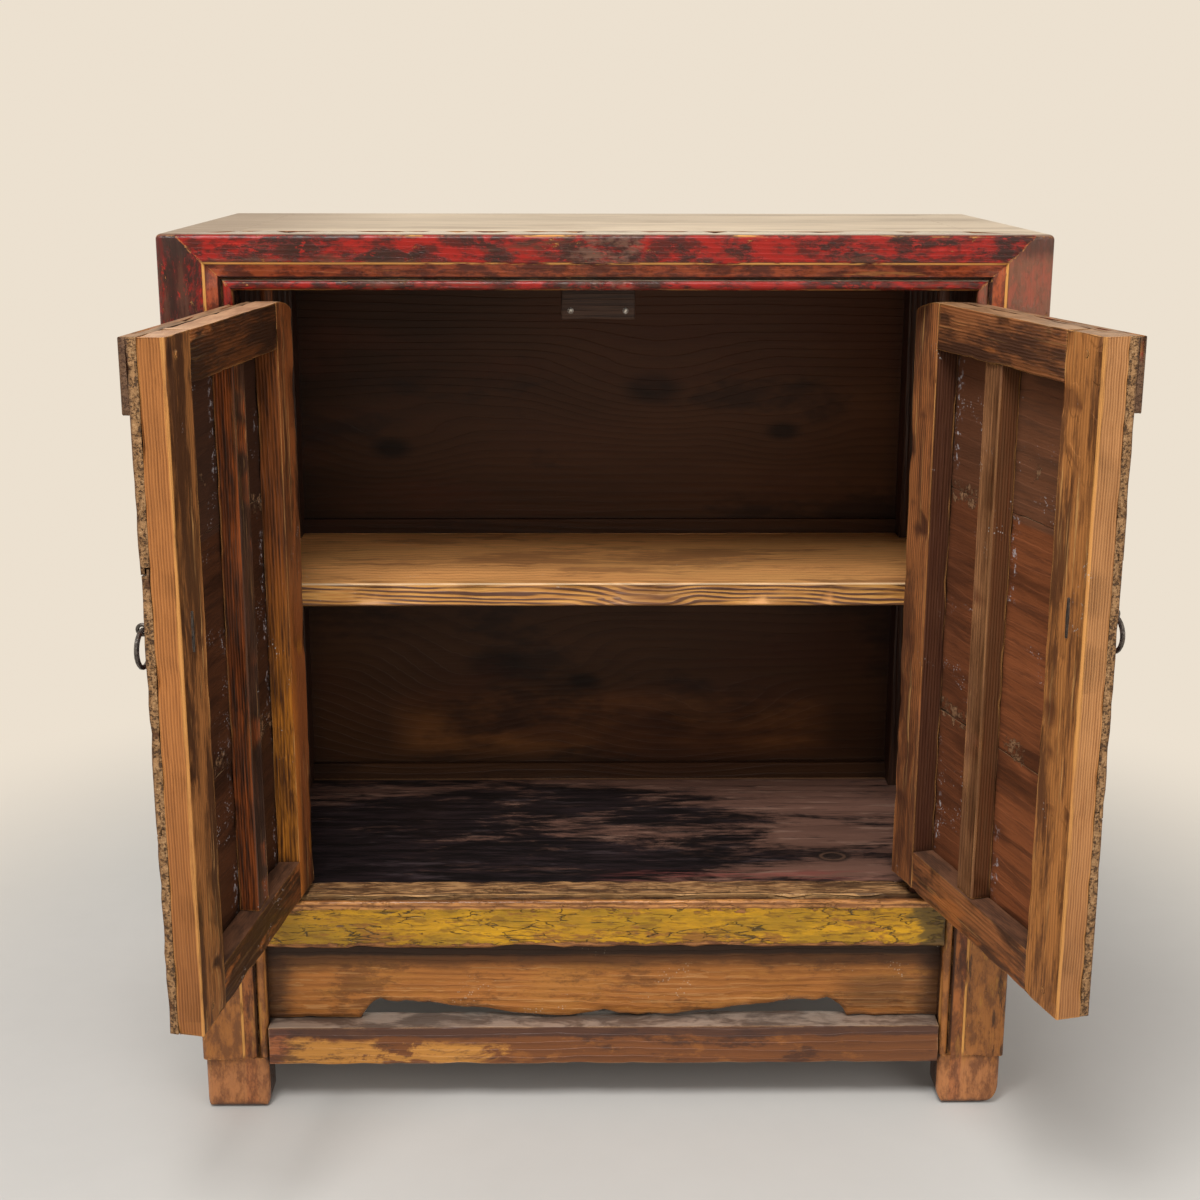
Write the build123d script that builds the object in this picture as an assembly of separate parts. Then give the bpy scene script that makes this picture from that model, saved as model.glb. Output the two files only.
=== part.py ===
from build123d import *
import os

# Kang cabinet: a low two-door case of lacquered softwood. Four square posts and a top
# frame meet in three-way mitred corners. A moulding runs round the door opening. The two
# doors turn on wooden pivots cut on their hinge stiles, and stand open at rest.
#
# Millimetres. X is the width, Y the depth with the front at -Y, Z is up. The origin is on
# the floor, under the middle of the case.

# ---------------------------------------------------------------- the case, outside
width = 820.0
depth = 405.0
height = 884.0
arris = 5.0             # rounding of the outer edges
soft = 2.5              # rounding of small worn edges

post_w = 67.0           # posts, seen from the front
frame_h = 51.0          # top members are this high and deep, and the posts this deep

sill_top = 227.0        # face of the sill on which the doors close
sill_h = 49.0
sill_d = 55.0
sill_setback = 1.0

# ---------------------------------------------------------------- face moulding
bead_r = 4.75           # half-round bead at the sight edge
bead_set = 4.0          # crown of the bead behind the face
quirk_w = 3.5           # slanting groove beside the bead
band_w = 11.0           # sunk flat band
band_set = 3.2          # depth of the band beside the bead
band_slope = 1.0        # the band is this much shallower at its outer edge
step_w = 1.5            # worn arris between the band and the face

lip_r = 3.25            # bead along the front of the sill
lip_rise = 2.0
lip_quirk = 1.5
rebate_w = 14.0         # sunk strip behind that bead
rebate_h = 4.0

# ---------------------------------------------------------------- feet
foot_h = 56.0           # the moulding stops above the worn foot
foot_set = 2.2          # wear of the foot's front and outer face
foot_r = 8.0            # its upright corners
left_outer_wear = 10.0  # rounding of the lower corners, seen from the front
left_inner_wear = 9.0
right_outer_wear = 25.0
right_inner_wear = 15.0
back_foot_bevel = 3.0

# ---------------------------------------------------------------- joints
joint = 0.2             # gap round a tenon, a tongue or a peg
groove = 6.0            # depth of a panel groove
tongue = 6.0            # thickness of a panel's tongue
tenon_l = 25.0
stub_l = 8.0            # short tenons of bearers, battens and muntins
shoulder = 6.0

# ---------------------------------------------------------------- rails and panels
side_rail_t = 35.0
side_rail_h = 51.0
side_panel_t = 10.0
side_panel_set = 6.0    # panel behind the outer face

back_rail_t = 25.0
back_rail_h = 61.0
back_mid_h = 38.0
back_mid_drop = 22.0    # foot of the middle rail below the shelf's top
back_panel_t = 8.0
back_panel_set = 9.0

top_panel_t = 14.5
batten_w = 35.0
batten_h = 21.0
batten_apart = 300.0    # the two top battens, middle to middle

bottom_panel_t = 12.0
bottom_step = 7.0       # floor of the case below the sill

stretcher_low = 49.0
stretcher_h = 42.0
stretcher_t = 35.0
stretcher_set = 1.0

shelf_rise = 302.0      # above the floor of the case
shelf_t = 25.0
shelf_front = 141.0     # front edge behind the front of the case
shelf_gap = 0.4
bearer_w = 25.0
bearer_h = 25.0

# ---------------------------------------------------------------- apron
apron_set = 22.0
apron_t = 12.0
apron_cusp = 114.0      # cusp of the curve, from the post
apron_solid = 93.0      # length left at full depth beside each post
apron_nick = 7.0        # height of the small middle peak over the stretcher
apron_peak = 20.5       # height of the cusp
apron_swell = 17.0      # height of the hollow beside the cusp
apron_line = (          # share of the way from the middle to the cusp, and height
    (0.07, 3.5),
    (0.21, 1.5),
    (0.42, 5.5),
    (0.72, 14.0),
    (0.90, 17.5),
)

# ---------------------------------------------------------------- doors
door_gap = 1.5          # hinge edge to post
meeting_gap = 2.0
door_head_gap = 10.5    # below the top rail
left_foot_gap = 6.0     # above the sill
right_foot_gap = 15.0
left_turn, right_turn = 98, 105     # degrees that the doors stand open
door_setback = 15.5     # outer face of the boards behind the front of the case
door_stile_t = 22.5
board_t = 8.5
nose_r = 26.0           # hinge edge is rounded about the pivot

pivot_r = 5.8
pivot_skin = 0.2        # wood in front of the pivot
pivot_running = 0.06
pivot_up = 14.0         # reach of the upper pivot in its socket
pivot_down = 9.0
pivot_root = 10.0       # length in one piece with the foot of the stile
pivot_lift = 11.0       # room to lift the leaf out of the lower socket
pivot_seat = 0.3

hinge_stile_w = 52.0
meeting_stile_w = 57.0
door_rail_top_h = 43.0
door_rail_low_h = 39.0
hinge_tenon_l = 19.0    # stops short of the pivot
meeting_tenon_l = 42.0
door_tenon_t = 8.0
muntin_w = 31.0
muntin_x = 156.0        # middle of the muntin from the hinge edge
muntin_set = 3.5        # its face behind the stiles'
crown_drop = 20.0       # hinge stile rounded down towards its edge

lower_board_h = 180.0
middle_board_h = 221.0
board_lap = 6.0
band_board_h = 61.0     # thin board across the top of the outer face
band_board_t = 7.0
band_board_from = 76.0  # from the hinge edge, clear of the post when open

peg_r = 3.0
peg_proud = 0.6
peg_inset = 25.0        # middle of a peg from the free edge
peg_drop = 16.0         # and from the top or the foot of the leaf

# ---------------------------------------------------------------- ring pulls
pull_inset = 25.5       # from the free edge
pull_rise = 349.0       # above the foot of the door
pull_reach = 11.0       # middle of the eye off the outer face
eye_r = 4.2
eye_wire = 1.5
shank_r = 1.7
shank_room = 0.3
leg_l = 17.0
leg_w = 3.6
leg_t = 1.6
ring_r = 15.5
ring_wire = 2.0
ring_play = 0.3

# ---------------------------------------------------------------- door stop
stop_w = 70.0
stop_x = -7.0
stop_drop = 31.0
stop_t = 24.0
stop_lap = 18.0         # part of the block that lies behind the top rail
nail_r = 3.0
nail_shank = 1.3
nail_head = 1.2
nail_l = 18.0
nail_apart = 52.0
nail_rise = 8.5         # above the foot of the block
nail_gap = 0.3          # closed doors to nail heads

# ---------------------------------------------------------------- what follows from them
front = -depth / 2
back = depth / 2
side = width / 2
sight = side - post_w               # half the width between the posts
post_back = front + frame_h         # back of a front post
back_post_front = back - frame_h
under_frame = height - frame_h

sill_low = sill_top - sill_h
sill_back = front + sill_d
side_rail_top = sill_low + side_rail_h
back_rail_top = sill_low + back_rail_h
stretcher_top = stretcher_low + stretcher_h
bottom_top = sill_top - bottom_step
bottom_low = bottom_top - bottom_panel_t
top_low = height - top_panel_t
shelf_top = bottom_top + shelf_rise
back_mid_low = shelf_top - back_mid_drop
back_mid_top = back_mid_low + back_mid_h

leaf_w = sight - door_gap - meeting_gap / 2
hinge_edge = -sight + door_gap
free_edge = hinge_edge + leaf_w
stile_inner = hinge_edge + hinge_stile_w
meeting_inner = free_edge - meeting_stile_w
door_top = under_frame - door_head_gap
door_face = front + door_setback
frame_front = door_face + board_t
door_back = frame_front + door_stile_t
pivot_x = hinge_edge + nose_r
pivot_y = frame_front + pivot_r + pivot_skin


# ================================================================ helpers
def bar(x, y, z):
    """A straight piece of timber, from its limits along X, Y and Z."""
    size = [high - low for low, high in (x, y, z)]
    middle = [(low + high) / 2 for low, high in (x, y, z)]
    return Pos(*middle) * Box(*size)


def swollen(x, y, z):
    """The room that a tenon or tongue with these limits needs."""
    return bar(*[(low - joint, high + joint) for low, high in (x, y, z)])


def mirrored(shape):
    """The same piece on the right-hand side."""
    return mirror(shape, about=Plane.YZ)


def to_back(shape):
    """The same piece at the back of the case."""
    return mirror(shape, about=Plane.XZ)


def keep_side(shape, point, normal):
    """The part of a shape on the side of a plane to which its normal points."""
    plane = Plane(origin=point, z_dir=normal)
    return split(shape, bisect_by=plane, keep=Keep.TOP)


def upright_rod(radius, x, y, low, high):
    """An upright cylinder between two heights."""
    return Pos(x, y, (low + high) / 2) * Cylinder(radius, high - low)


def level_rod(radius, x, z, near, far):
    """A cylinder along the depth between two limits."""
    rod = Rot(90, 0, 0) * Cylinder(radius, far - near)
    return Pos(x, (near + far) / 2, z) * rod


def forged_hoop(radius, wire, flats=24):
    """A closed hoop about Z of eight-sided wire, with the flats that the hammer left along it."""
    outer = RegularPolygon(radius + wire, flats)
    inner = RegularPolygon(radius - wire, flats, major_radius=False)
    hoop = extrude(outer - inner, wire, both=True)
    return chamfer(hoop.edges().filter_by(Plane.XY), 0.58 * wire)


def front_outline(edge, y):
    """A board cut to an outline in X and Z, between two limits along Y."""
    board = extrude(Plane.XZ * make_face(edge), -(y[1] - y[0]))
    return Pos(0, y[0], 0) * board


def case_block():
    """Outer form of the case, with every long edge worn round."""
    block = bar((-side, side), (front, back), (0, height))
    edges = block.edges().filter_by(Axis.Z) + block.edges().group_by(Axis.Z)[-1]
    return fillet(edges, arris)


# ================================================================ where pieces are housed
# Limits along X, Y and Z of the tongues and tenons that more than one piece needs.
tongue_x = (-sight - groove, sight + groove)
tongue_y = (post_back - groove, back_post_front + groove)
back_rail_y = (back - back_rail_t, back)
side_rail_x = (-side, -side + side_rail_t)

top_tongue = (tongue_x, tongue_y, (top_low, top_low + tongue))

top_battens = [
    (
        (x - batten_w / 2, x + batten_w / 2),
        (post_back - stub_l, back_post_front + stub_l),
        (top_low - joint - batten_h, top_low - joint),
    )
    for x in (-batten_apart / 2, batten_apart / 2)
]

panel_x = (-side + side_panel_set, -side + side_panel_set + side_panel_t)
side_panel = (panel_x, tongue_y, (side_rail_top - groove, under_frame + groove))

panel_y = (back - back_panel_set - back_panel_t, back - back_panel_set)
upper_panel = (tongue_x, panel_y, (back_mid_top - groove, under_frame + groove))
lower_panel = (tongue_x, panel_y, (back_rail_top - groove, back_mid_low + groove))

bottom_tongue = (
    (side_rail_x[1] - groove, -side_rail_x[1] + groove),
    (sill_back - groove, back_rail_y[0] + groove),
    (bottom_low, bottom_low + tongue),
)
bottom_batten = (
    (-batten_w / 2, batten_w / 2),
    (sill_back - stub_l, back_rail_y[0] + stub_l),
    (bottom_low - joint - batten_h, bottom_low - joint),
)

apron_y = (front + apron_set, front + apron_set + apron_t)
apron_room = (tongue_x, apron_y, (stretcher_top, sill_low + groove))

# Each post has two hidden stubs on its head, a quarter of the frame's width square. One
# goes into the front or back member and one into the side member, across the mitres.
corner = (-sight, post_back, under_frame)   # inner corner of the front left mitre
quarter = frame_h / 4
stub_z = (under_frame, under_frame + 3 * quarter)
front_stub = (
    (corner[0] - 2 * quarter, corner[0] - quarter),
    (corner[1] - 3 * quarter, corner[1] - 2 * quarter - 2 * joint),
    stub_z,
)
side_stub = (
    (corner[0] - 3 * quarter, corner[0] - 2 * quarter - 2 * joint),
    (corner[1] - 2 * quarter, corner[1] - quarter),
    stub_z,
)

envelope = case_block()
mortises = []       # rooms to cut in the left-hand posts, noted by each rail


def tenon_x(y, z, length):
    """A tenon to the left-hand posts, across the width."""
    limits = ((-sight - length, -sight), y, z)
    mortises.append(swollen(*limits))
    return bar(*limits)


def tenon_y(x, z, length, at_back):
    """A tenon to the front left or back left post, along the depth."""
    if at_back:
        limits = (x, (back_post_front, back_post_front + length), z)
    else:
        limits = (x, (post_back - length, post_back), z)
    mortises.append(swollen(*limits))
    return bar(*limits)


def middle_third(limits):
    """The middle third of a thickness, where a tenon is cut."""
    third = (limits[1] - limits[0]) / 3
    return (limits[0] + third, limits[1] - third)


def shouldered(limits):
    """Height of a tenon between its shoulders."""
    return (limits[0] + shoulder, limits[1] - shoulder)


def cross_rail(y, z):
    """A rail between a left and a right post, tenoned to both."""
    tenon = tenon_x(middle_third(y), shouldered(z), tenon_l)
    return bar((-sight, sight), y, z) + tenon + mirrored(tenon)


def depth_rail(x, z, length=tenon_l):
    """A rail between the front and the back post of the left side."""
    rail = bar(x, (post_back, back_post_front), z)
    for at_back in (False, True):
        rail += tenon_y(middle_third(x), shouldered(z), length, at_back)
    return rail


# ================================================================ front moulding
def moulded_section(outer):
    """Half section of a front member: X from the sight edge outwards, Y from the face."""
    bead_end = 2 * bead_r
    bead_root = bead_set + bead_r
    band_start = bead_end + quirk_w
    band_end = band_start + band_w
    edge = Line((0, frame_h), (0, bead_root))
    edge += ThreePointArc((0, bead_root), (bead_r, bead_set), (bead_end, bead_root))
    edge += Polyline(
        (bead_end, bead_root),
        (band_start, band_set),
        (band_end, band_set - band_slope),
        (band_end + step_w, 0),
        (outer, 0),
        (outer, frame_h),
        (0, frame_h),
    )
    return make_face(edge)


def sill():
    """Front rail under the doors: a lip bead, a sunk strip and the closing face."""
    face = front + sill_setback
    lip_end = face + 2 * lip_r
    lip_base = sill_top + lip_rise - lip_r
    strip_z = sill_top - rebate_h
    edge = Line((face, sill_low + soft), (face, lip_base))
    edge += ThreePointArc(
        (face, lip_base), (face + lip_r, lip_base + lip_r), (lip_end, lip_base)
    )
    edge += Polyline(
        (lip_end, lip_base),
        (lip_end + lip_quirk, strip_z),
        (lip_end + rebate_w, strip_z),
        (lip_end + rebate_w, sill_top),
        (sill_back, sill_top),
        (sill_back, sill_low),
        (face + soft, sill_low),
        (face, sill_low + soft),
    )
    rail = Pos(-sight, 0, 0) * extrude(Plane.YZ * make_face(edge), 2 * sight)
    height_range = (sill_low + shoulder, strip_z - shoulder)
    tenon = tenon_x(middle_third((front, sill_back)), height_range, tenon_l)
    rail += tenon + mirrored(tenon)
    for room in (apron_room, bottom_tongue, bottom_batten):
        rail -= swollen(*room)
    return rail - sockets(sill_top - pivot_down - pivot_seat, sill_top)


def sockets(low, high):
    """Rooms for the pivots of both doors."""
    radius = pivot_r + pivot_running
    return Compound([upright_rod(radius, x, pivot_y, low, high) for x in (-pivot_x, pivot_x)])


# ================================================================ top frame
def both_mitres(rail):
    """Cuts a front member to its mitres with the posts and the side members."""
    for _ in range(2):
        rail = keep_side(rail, corner, (1, 0, 1))
        rail = keep_side(rail, corner, (1, -1, 0))
        rail = mirrored(rail)
    return rail


def front_top_rail():
    """Moulded top rail, with the sockets of the upper pivots."""
    section = mirror(Rot(0, 0, 90) * moulded_section(frame_h), about=Plane.YZ)
    section = Plane.YZ * (Pos(front, under_frame, 0) * section)
    rail = Pos(-side, 0, 0) * extrude(section, width)
    rail = both_mitres(rail & envelope)
    stub = swollen(*front_stub)
    rail -= stub + mirrored(stub)
    for room in (top_tongue, *top_battens):
        rail -= swollen(*room)
    return rail - sockets(under_frame, under_frame + pivot_up + pivot_lift)


def back_top_rail():
    """Plain top rail of the back."""
    rail = bar((-side, side), (front, post_back), (under_frame, height))
    stub = swollen(*front_stub)
    rail = to_back(both_mitres(rail & envelope) - stub - mirrored(stub))
    for room in (top_tongue, upper_panel, *top_battens):
        rail -= swollen(*room)
    return rail


def left_top_rail():
    """Side member of the top frame."""
    rail = bar((-side, -sight), (front, back), (under_frame, height)) & envelope
    for _ in range(2):
        rail = keep_side(rail, corner, (0, 1, 1))
        rail = keep_side(rail, corner, (-1, 1, 0))
        rail = to_back(rail)
    stub = swollen(*side_stub)
    rail -= stub + to_back(stub)
    return rail - swollen(*top_tongue) - swollen(*side_panel)


def top_panel():
    """Floating top panel, flush in its frame, with a tongue all round."""
    main = bar(
        (-sight + joint, sight - joint),
        (post_back + joint, back_post_front - joint),
        (top_low, height),
    )
    return main + bar(*top_tongue)


# ================================================================ posts
def mitred_head(post):
    """Cuts a front post to its mitres and adds the two stubs."""
    post = keep_side(post, corner, (-1, 0, -1))
    post = keep_side(post, corner, (0, -1, -1))
    return post + bar(*front_stub) + bar(*side_stub)


def front_post(outer_r, inner_r):
    """Left front post: moulded, mitred at its head, plain and worn at its foot."""
    section = Pos(-sight, front, 0) * mirror(moulded_section(post_w), about=Plane.YZ)
    post = Pos(0, 0, foot_h) * extrude(section, height - foot_h) & envelope
    post = mitred_head(post + foot(outer_r, inner_r))
    for room in mortises:
        post -= room
    return post - swollen(*side_panel) - swollen(*apron_room)


def foot(outer_r, inner_r):
    """Foot of a front post below the moulding, worn round at its lower corners."""
    x = (-side + foot_set, -sight - foot_set / 2)
    y = (front + foot_set, post_back - foot_set / 2)
    block = bar(x, y, (0, foot_h))
    block = fillet(block.edges().filter_by(Axis.Z), foot_r)
    elevation = rounded_below(x, (outer_r, inner_r))
    profile = rounded_below(y, (foot_r, foot_r))
    block &= Pos(0, back, 0) * extrude(Plane.XZ * elevation, depth)
    return block & Pos(-side, 0, 0) * extrude(Plane.YZ * profile, width)


def rounded_below(limits, radii):
    """Elevation of a foot whose two lower corners are rounded."""
    low, high = limits
    first, second = radii
    edge = Line((low, foot_h), (low, first))
    edge += RadiusArc((low, first), (low + first, 0), -first)
    edge += Line((low + first, 0), (high - second, 0))
    edge += RadiusArc((high - second, 0), (high, second), -second)
    edge += Polyline((high, second), (high, foot_h), (low, foot_h))
    return make_face(edge)


def back_post():
    """Left back post: plain and square."""
    post = bar((-side, -sight), (front, post_back), (0, height)) & envelope
    post = chamfer(post.edges().group_by(Axis.Z)[0], back_foot_bevel)
    post = to_back(mitred_head(post))
    for room in mortises:
        post -= room
    for room in (side_panel, upper_panel, lower_panel):
        post -= swollen(*room)
    return post


# ================================================================ lower case
def side_bottom_rail():
    """Rail under the side panel."""
    rail = depth_rail(side_rail_x, (sill_low, side_rail_top))
    return rail - swollen(*side_panel) - swollen(*bottom_tongue)


def back_bottom_rail():
    """Rail under the lower back panel."""
    rail = cross_rail(back_rail_y, (sill_low, back_rail_top))
    for room in (lower_panel, bottom_batten, bottom_tongue):
        rail -= swollen(*room)
    return rail


def back_mid_rail():
    """Rail between the two back panels, behind the shelf."""
    rail = cross_rail(back_rail_y, (back_mid_low, back_mid_top))
    return rail - swollen(*lower_panel) - swollen(*upper_panel)


def back_post_notches():
    """Rooms that the back posts need in the shelf and in the floor of the case."""
    notch = swollen((-side, -sight), (back_post_front, back), (0, height))
    return notch + mirrored(notch)


def bottom_panel():
    """Floor of the case, notched round the posts."""
    inner = -side_rail_x[1] - joint
    main = bar(
        (-inner, inner),
        (sill_back + joint, back_rail_y[0] - joint),
        (bottom_low, bottom_top),
    )
    notches = back_post_notches()
    return main + bar(*bottom_tongue) - notches - to_back(notches)


def shelf():
    """One fixed shelf, set back from the doors and notched round the back posts."""
    end = -panel_x[1] - shelf_gap
    board = bar(
        (-end, end),
        (front + shelf_front, back_rail_y[0] - shelf_gap),
        (shelf_top - shelf_t, shelf_top),
    )
    edges = board.edges().filter_by(Axis.X).group_by(Axis.Y)[0]
    return fillet(edges, soft) - back_post_notches()


def left_bearer():
    """Rail on which an end of the shelf rests."""
    inner = panel_x[1] + joint
    top = shelf_top - shelf_t
    return depth_rail((inner, inner + bearer_w), (top - bearer_h, top), stub_l)


def apron():
    """Board under the sill. Its lower edge is two long cusped curves and a small peak."""
    low = stretcher_top
    cusp_x = sight - apron_cusp
    end_x = sight - apron_solid
    curve = [(share * cusp_x, low + rise) for share, rise in apron_line]
    peak = (0, low + apron_nick)
    cusp = (cusp_x, low + apron_peak)
    hollow = ((curve[-1][0] + cusp_x) / 2, low + apron_swell)
    shoulder_point = ((cusp_x + 2 * end_x) / 3, low + apron_peak / 2)
    end = (end_x, low)
    top = apron_room[2][1]
    edge = Line(peak, curve[0]) + Spline(*curve)
    edge += ThreePointArc(curve[-1], hollow, cusp)
    edge += ThreePointArc(cusp, shoulder_point, end)
    edge += Polyline(end, (tongue_x[1], low), (tongue_x[1], top), (0, top), peak)
    half = front_outline(edge, apron_y)
    return half + mirrored(half)


# ================================================================ door stop
stop_low = under_frame - stop_drop
stop_face = door_back + nail_gap + nail_head
stop_back = stop_face + stop_t
nail_places = [(stop_x + offset, stop_low + nail_rise) for offset in (-nail_apart / 2, nail_apart / 2)]


def stop_block():
    """Block behind the top rail against which both doors close."""
    x = (stop_x - stop_w / 2, stop_x + stop_w / 2)
    block = bar(x, (stop_face, stop_back), (stop_low, under_frame))
    block += bar(x, (post_back, stop_back), (stop_low, under_frame + stop_lap))
    for place in nail_places:
        block -= level_rod(nail_shank + joint, *place, stop_face, stop_back)
    return block


def stop_nails():
    """Forged nails that the doors strike, with a hammered head and a square shank."""
    crown = Pos(0, 0, nail_head) * RegularPolygon(nail_r / 2, 8)
    tip = Pos(0, 0, -nail_l) * RegularPolygon(nail_shank / 3, 4)
    nail = loft([RegularPolygon(nail_r, 8), crown])
    nail = Rot(90, 0, 0) * (nail + loft([tip, RegularPolygon(nail_shank, 4)]))
    return Compound([Pos(x, stop_face, z) * nail for x, z in nail_places])


# ================================================================ doors
# Each leaf is made closed, on the left. low is the height of its foot.
leaf_x = (hinge_edge, free_edge)
board_y = (door_face, frame_front)
stile_y = (frame_front, door_back)
tenon_middle = (frame_front + door_back - muntin_set) / 2
door_tenon_y = (tenon_middle - door_tenon_t / 2, tenon_middle + door_tenon_t / 2)


def leaf_form(low):
    """Outer form of a leaf: hinge edge round about the pivot, its upper corner eased."""
    block = bar((pivot_x, free_edge), (door_face, door_back), (low, door_top))
    block += upright_rod(nose_r, pivot_x, pivot_y, low, door_top)
    ease_low = door_top - crown_drop
    edge = EllipticalCenterArc(
        (stile_inner, ease_low), hinge_stile_w, crown_drop, 90, arc_size=90
    )
    edge += Polyline(
        (hinge_edge, ease_low),
        (hinge_edge, low),
        (free_edge, low),
        (free_edge, door_top),
        (stile_inner, door_top),
    )
    return block & front_outline(edge, (pivot_y - nose_r, pivot_y + nose_r))


def rail_tenons(low):
    """Heights of the tenons of the top and bottom rail."""
    top = (door_top - door_rail_top_h + shoulder, door_top - 2 * shoulder)
    bottom = (low + 2 * shoulder, low + door_rail_low_h - shoulder)
    return top, bottom


def hinge_tenon(z):
    return ((stile_inner - hinge_tenon_l, stile_inner), door_tenon_y, z)


def meeting_tenon(z):
    return ((meeting_inner, meeting_inner + meeting_tenon_l), door_tenon_y, z)


def muntin_tenon(z):
    middle = hinge_edge + muntin_x
    half = muntin_w / 2 - shoulder
    return ((middle - half, middle + half), door_tenon_y, z)


def peg_places(low):
    """X and Z of the pegs in the meeting stile."""
    return [(free_edge - peg_inset, z) for z in (door_top - peg_drop, low + peg_drop)]


def peg_holes(low):
    """Holes for the pegs, right through the frame."""
    holes = [level_rod(peg_r + joint, *place, *stile_y) for place in peg_places(low)]
    return Compound(holes)


def pull_place(low):
    """X and Z of the pull."""
    return free_edge - pull_inset, low + pull_rise


def shank_hole(low):
    """Hole for the split pin, through boards and stile."""
    return level_rod(shank_r + shank_room, *pull_place(low), door_face, door_back)


def hinge_stile(low):
    """Stile in one piece with both pivots."""
    stile = bar((hinge_edge, stile_inner), stile_y, (low, door_top)) & leaf_form(low)
    upper = (door_top - crown_drop, under_frame + pivot_up)
    lower = (sill_top - pivot_down, low + pivot_root)
    for limits in (upper, lower):
        stile += upright_rod(pivot_r, pivot_x, pivot_y, *limits)
    for z in rail_tenons(low):
        stile -= swollen(*hinge_tenon(z))
    return stile


def meeting_stile(low):
    """Stile on the free edge, bored for the pull."""
    stile = bar((meeting_inner, free_edge), stile_y, (low, door_top))
    uprights = stile.edges().filter_by(Axis.Z).group_by(Axis.Y)[-1]
    stile = fillet(uprights.sort_by(Axis.X)[-1], soft)
    for z in rail_tenons(low):
        stile -= swollen(*meeting_tenon(z))
    return stile - peg_holes(low) - shank_hole(low)


def door_rail(low, z, tenon_z, muntin_z):
    """A rail of the leaf, tenoned to both stiles and mortised for the muntin."""
    rail = bar((stile_inner, meeting_inner), stile_y, z)
    rail += bar(*hinge_tenon(tenon_z)) + bar(*meeting_tenon(tenon_z))
    return rail - peg_holes(low) - swollen(*muntin_tenon(muntin_z))


def door_top_rail(low):
    z = (door_top - door_rail_top_h, door_top)
    return door_rail(low, z, rail_tenons(low)[0], (z[0], z[0] + stub_l))


def door_bottom_rail(low):
    z = (low, low + door_rail_low_h)
    return door_rail(low, z, rail_tenons(low)[1], (z[1] - stub_l, z[1]))


def muntin(low):
    """Middle upright behind the boards."""
    x = hinge_edge + muntin_x
    z = (low + door_rail_low_h, door_top - door_rail_top_h)
    upright = bar(
        (x - muntin_w / 2, x + muntin_w / 2),
        (frame_front, door_back - muntin_set),
        z,
    )
    upright = fillet(upright.edges().filter_by(Axis.Z).group_by(Axis.Y)[-1], soft)
    upright += bar(*muntin_tenon((z[0] - stub_l, z[0])))
    return upright + bar(*muntin_tenon((z[1], z[1] + stub_l)))


def boards(low):
    """Three lapped boards that cover the front of the leaf, from the lowest up."""
    first_joint = low + lower_board_h
    heights = (low, first_joint, first_joint + middle_board_h, door_top)
    middle = sum(board_y) / 2
    form = leaf_form(low)
    made = []
    for below, above in zip(heights, heights[1:]):
        board = bar(leaf_x, board_y, (below, above))
        if below > low:
            cut = (middle - joint / 2, frame_front)
            board -= bar(leaf_x, cut, (below, below + board_lap))
        if above < door_top:
            lap = (middle + joint / 2, frame_front)
            board += bar(leaf_x, lap, (above, above + board_lap - joint))
        made.append((board & form) - shank_hole(low))
    return made


def band_board():
    """Thin board across the top of the outer face, with worn edges."""
    board = bar(
        (hinge_edge + band_board_from, free_edge),
        (door_face - band_board_t, door_face),
        (door_top - band_board_h, door_top),
    )
    return fillet(board.edges().group_by(Axis.Y)[0], soft)


def pegs(low):
    """Whittled pegs through two corner joints, a little proud of the inner face."""
    end = door_back + peg_proud
    length = end - frame_front - joint
    made = []
    for x, z in peg_places(low):
        peg = Pos(x, end, z) * Rot(90, 0, 0) * extrude(RegularPolygon(peg_r, 8), length)
        made.append(chamfer(peg.edges().group_by(Axis.Y)[-1], peg_proud / 2))
    return Compound(made)


def split_pin(low):
    """Pin with an eye outside and two legs clinched on the inner face."""
    x, z = pull_place(low)
    eye_y = door_face - pull_reach
    eye = Pos(x, eye_y, z) * (Rot(0, 90, 0) * forged_hoop(eye_r, eye_wire))
    shank = level_rod(shank_r, x, z, eye_y + eye_r, door_back + leg_t)
    pin = eye + shank
    for way in (-1, 1):
        outline = Polyline(
            (x - leg_w / 2, z),
            (x + leg_w / 2, z),
            (x + leg_w / 4, z + way * leg_l),
            (x - leg_w / 4, z + way * leg_l),
            (x - leg_w / 2, z),
        )
        pin += front_outline(outline, (door_back, door_back + leg_t))
    return pin


def pull_ring(low):
    """Ring that hangs in the eye."""
    x, z = pull_place(low)
    drop = eye_r - eye_wire - ring_wire - ring_play
    ring = Rot(90, 0, 0) * forged_hoop(ring_r, ring_wire)
    return Pos(x, door_face - pull_reach, z - drop - ring_r) * ring


def door(name, foot_gap, turn):
    """All pieces of one leaf, mirrored for the right-hand side, and turned open."""
    low = sill_top + foot_gap
    lower, middle, upper = boards(low)
    made = {
        "hinge_stile": hinge_stile(low),
        "meeting_stile": meeting_stile(low),
        "top_rail": door_top_rail(low),
        "bottom_rail": door_bottom_rail(low),
        "muntin": muntin(low),
        "lower_board": lower,
        "middle_board": middle,
        "upper_board": upper,
        "band_board": band_board(),
        "pegs": pegs(low),
        "split_pin": split_pin(low),
        "pull_ring": pull_ring(low),
    }
    x, angle = pivot_x, -turn
    if name == "right":
        made = {key: mirrored(piece) for key, piece in made.items()}
        x, angle = -x, -angle
    opened = Pos(x, pivot_y, 0) * Rot(0, 0, angle) * Pos(-x, -pivot_y, 0)
    return {f"{name}_door_{key}": opened * piece for key, piece in made.items()}


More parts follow.
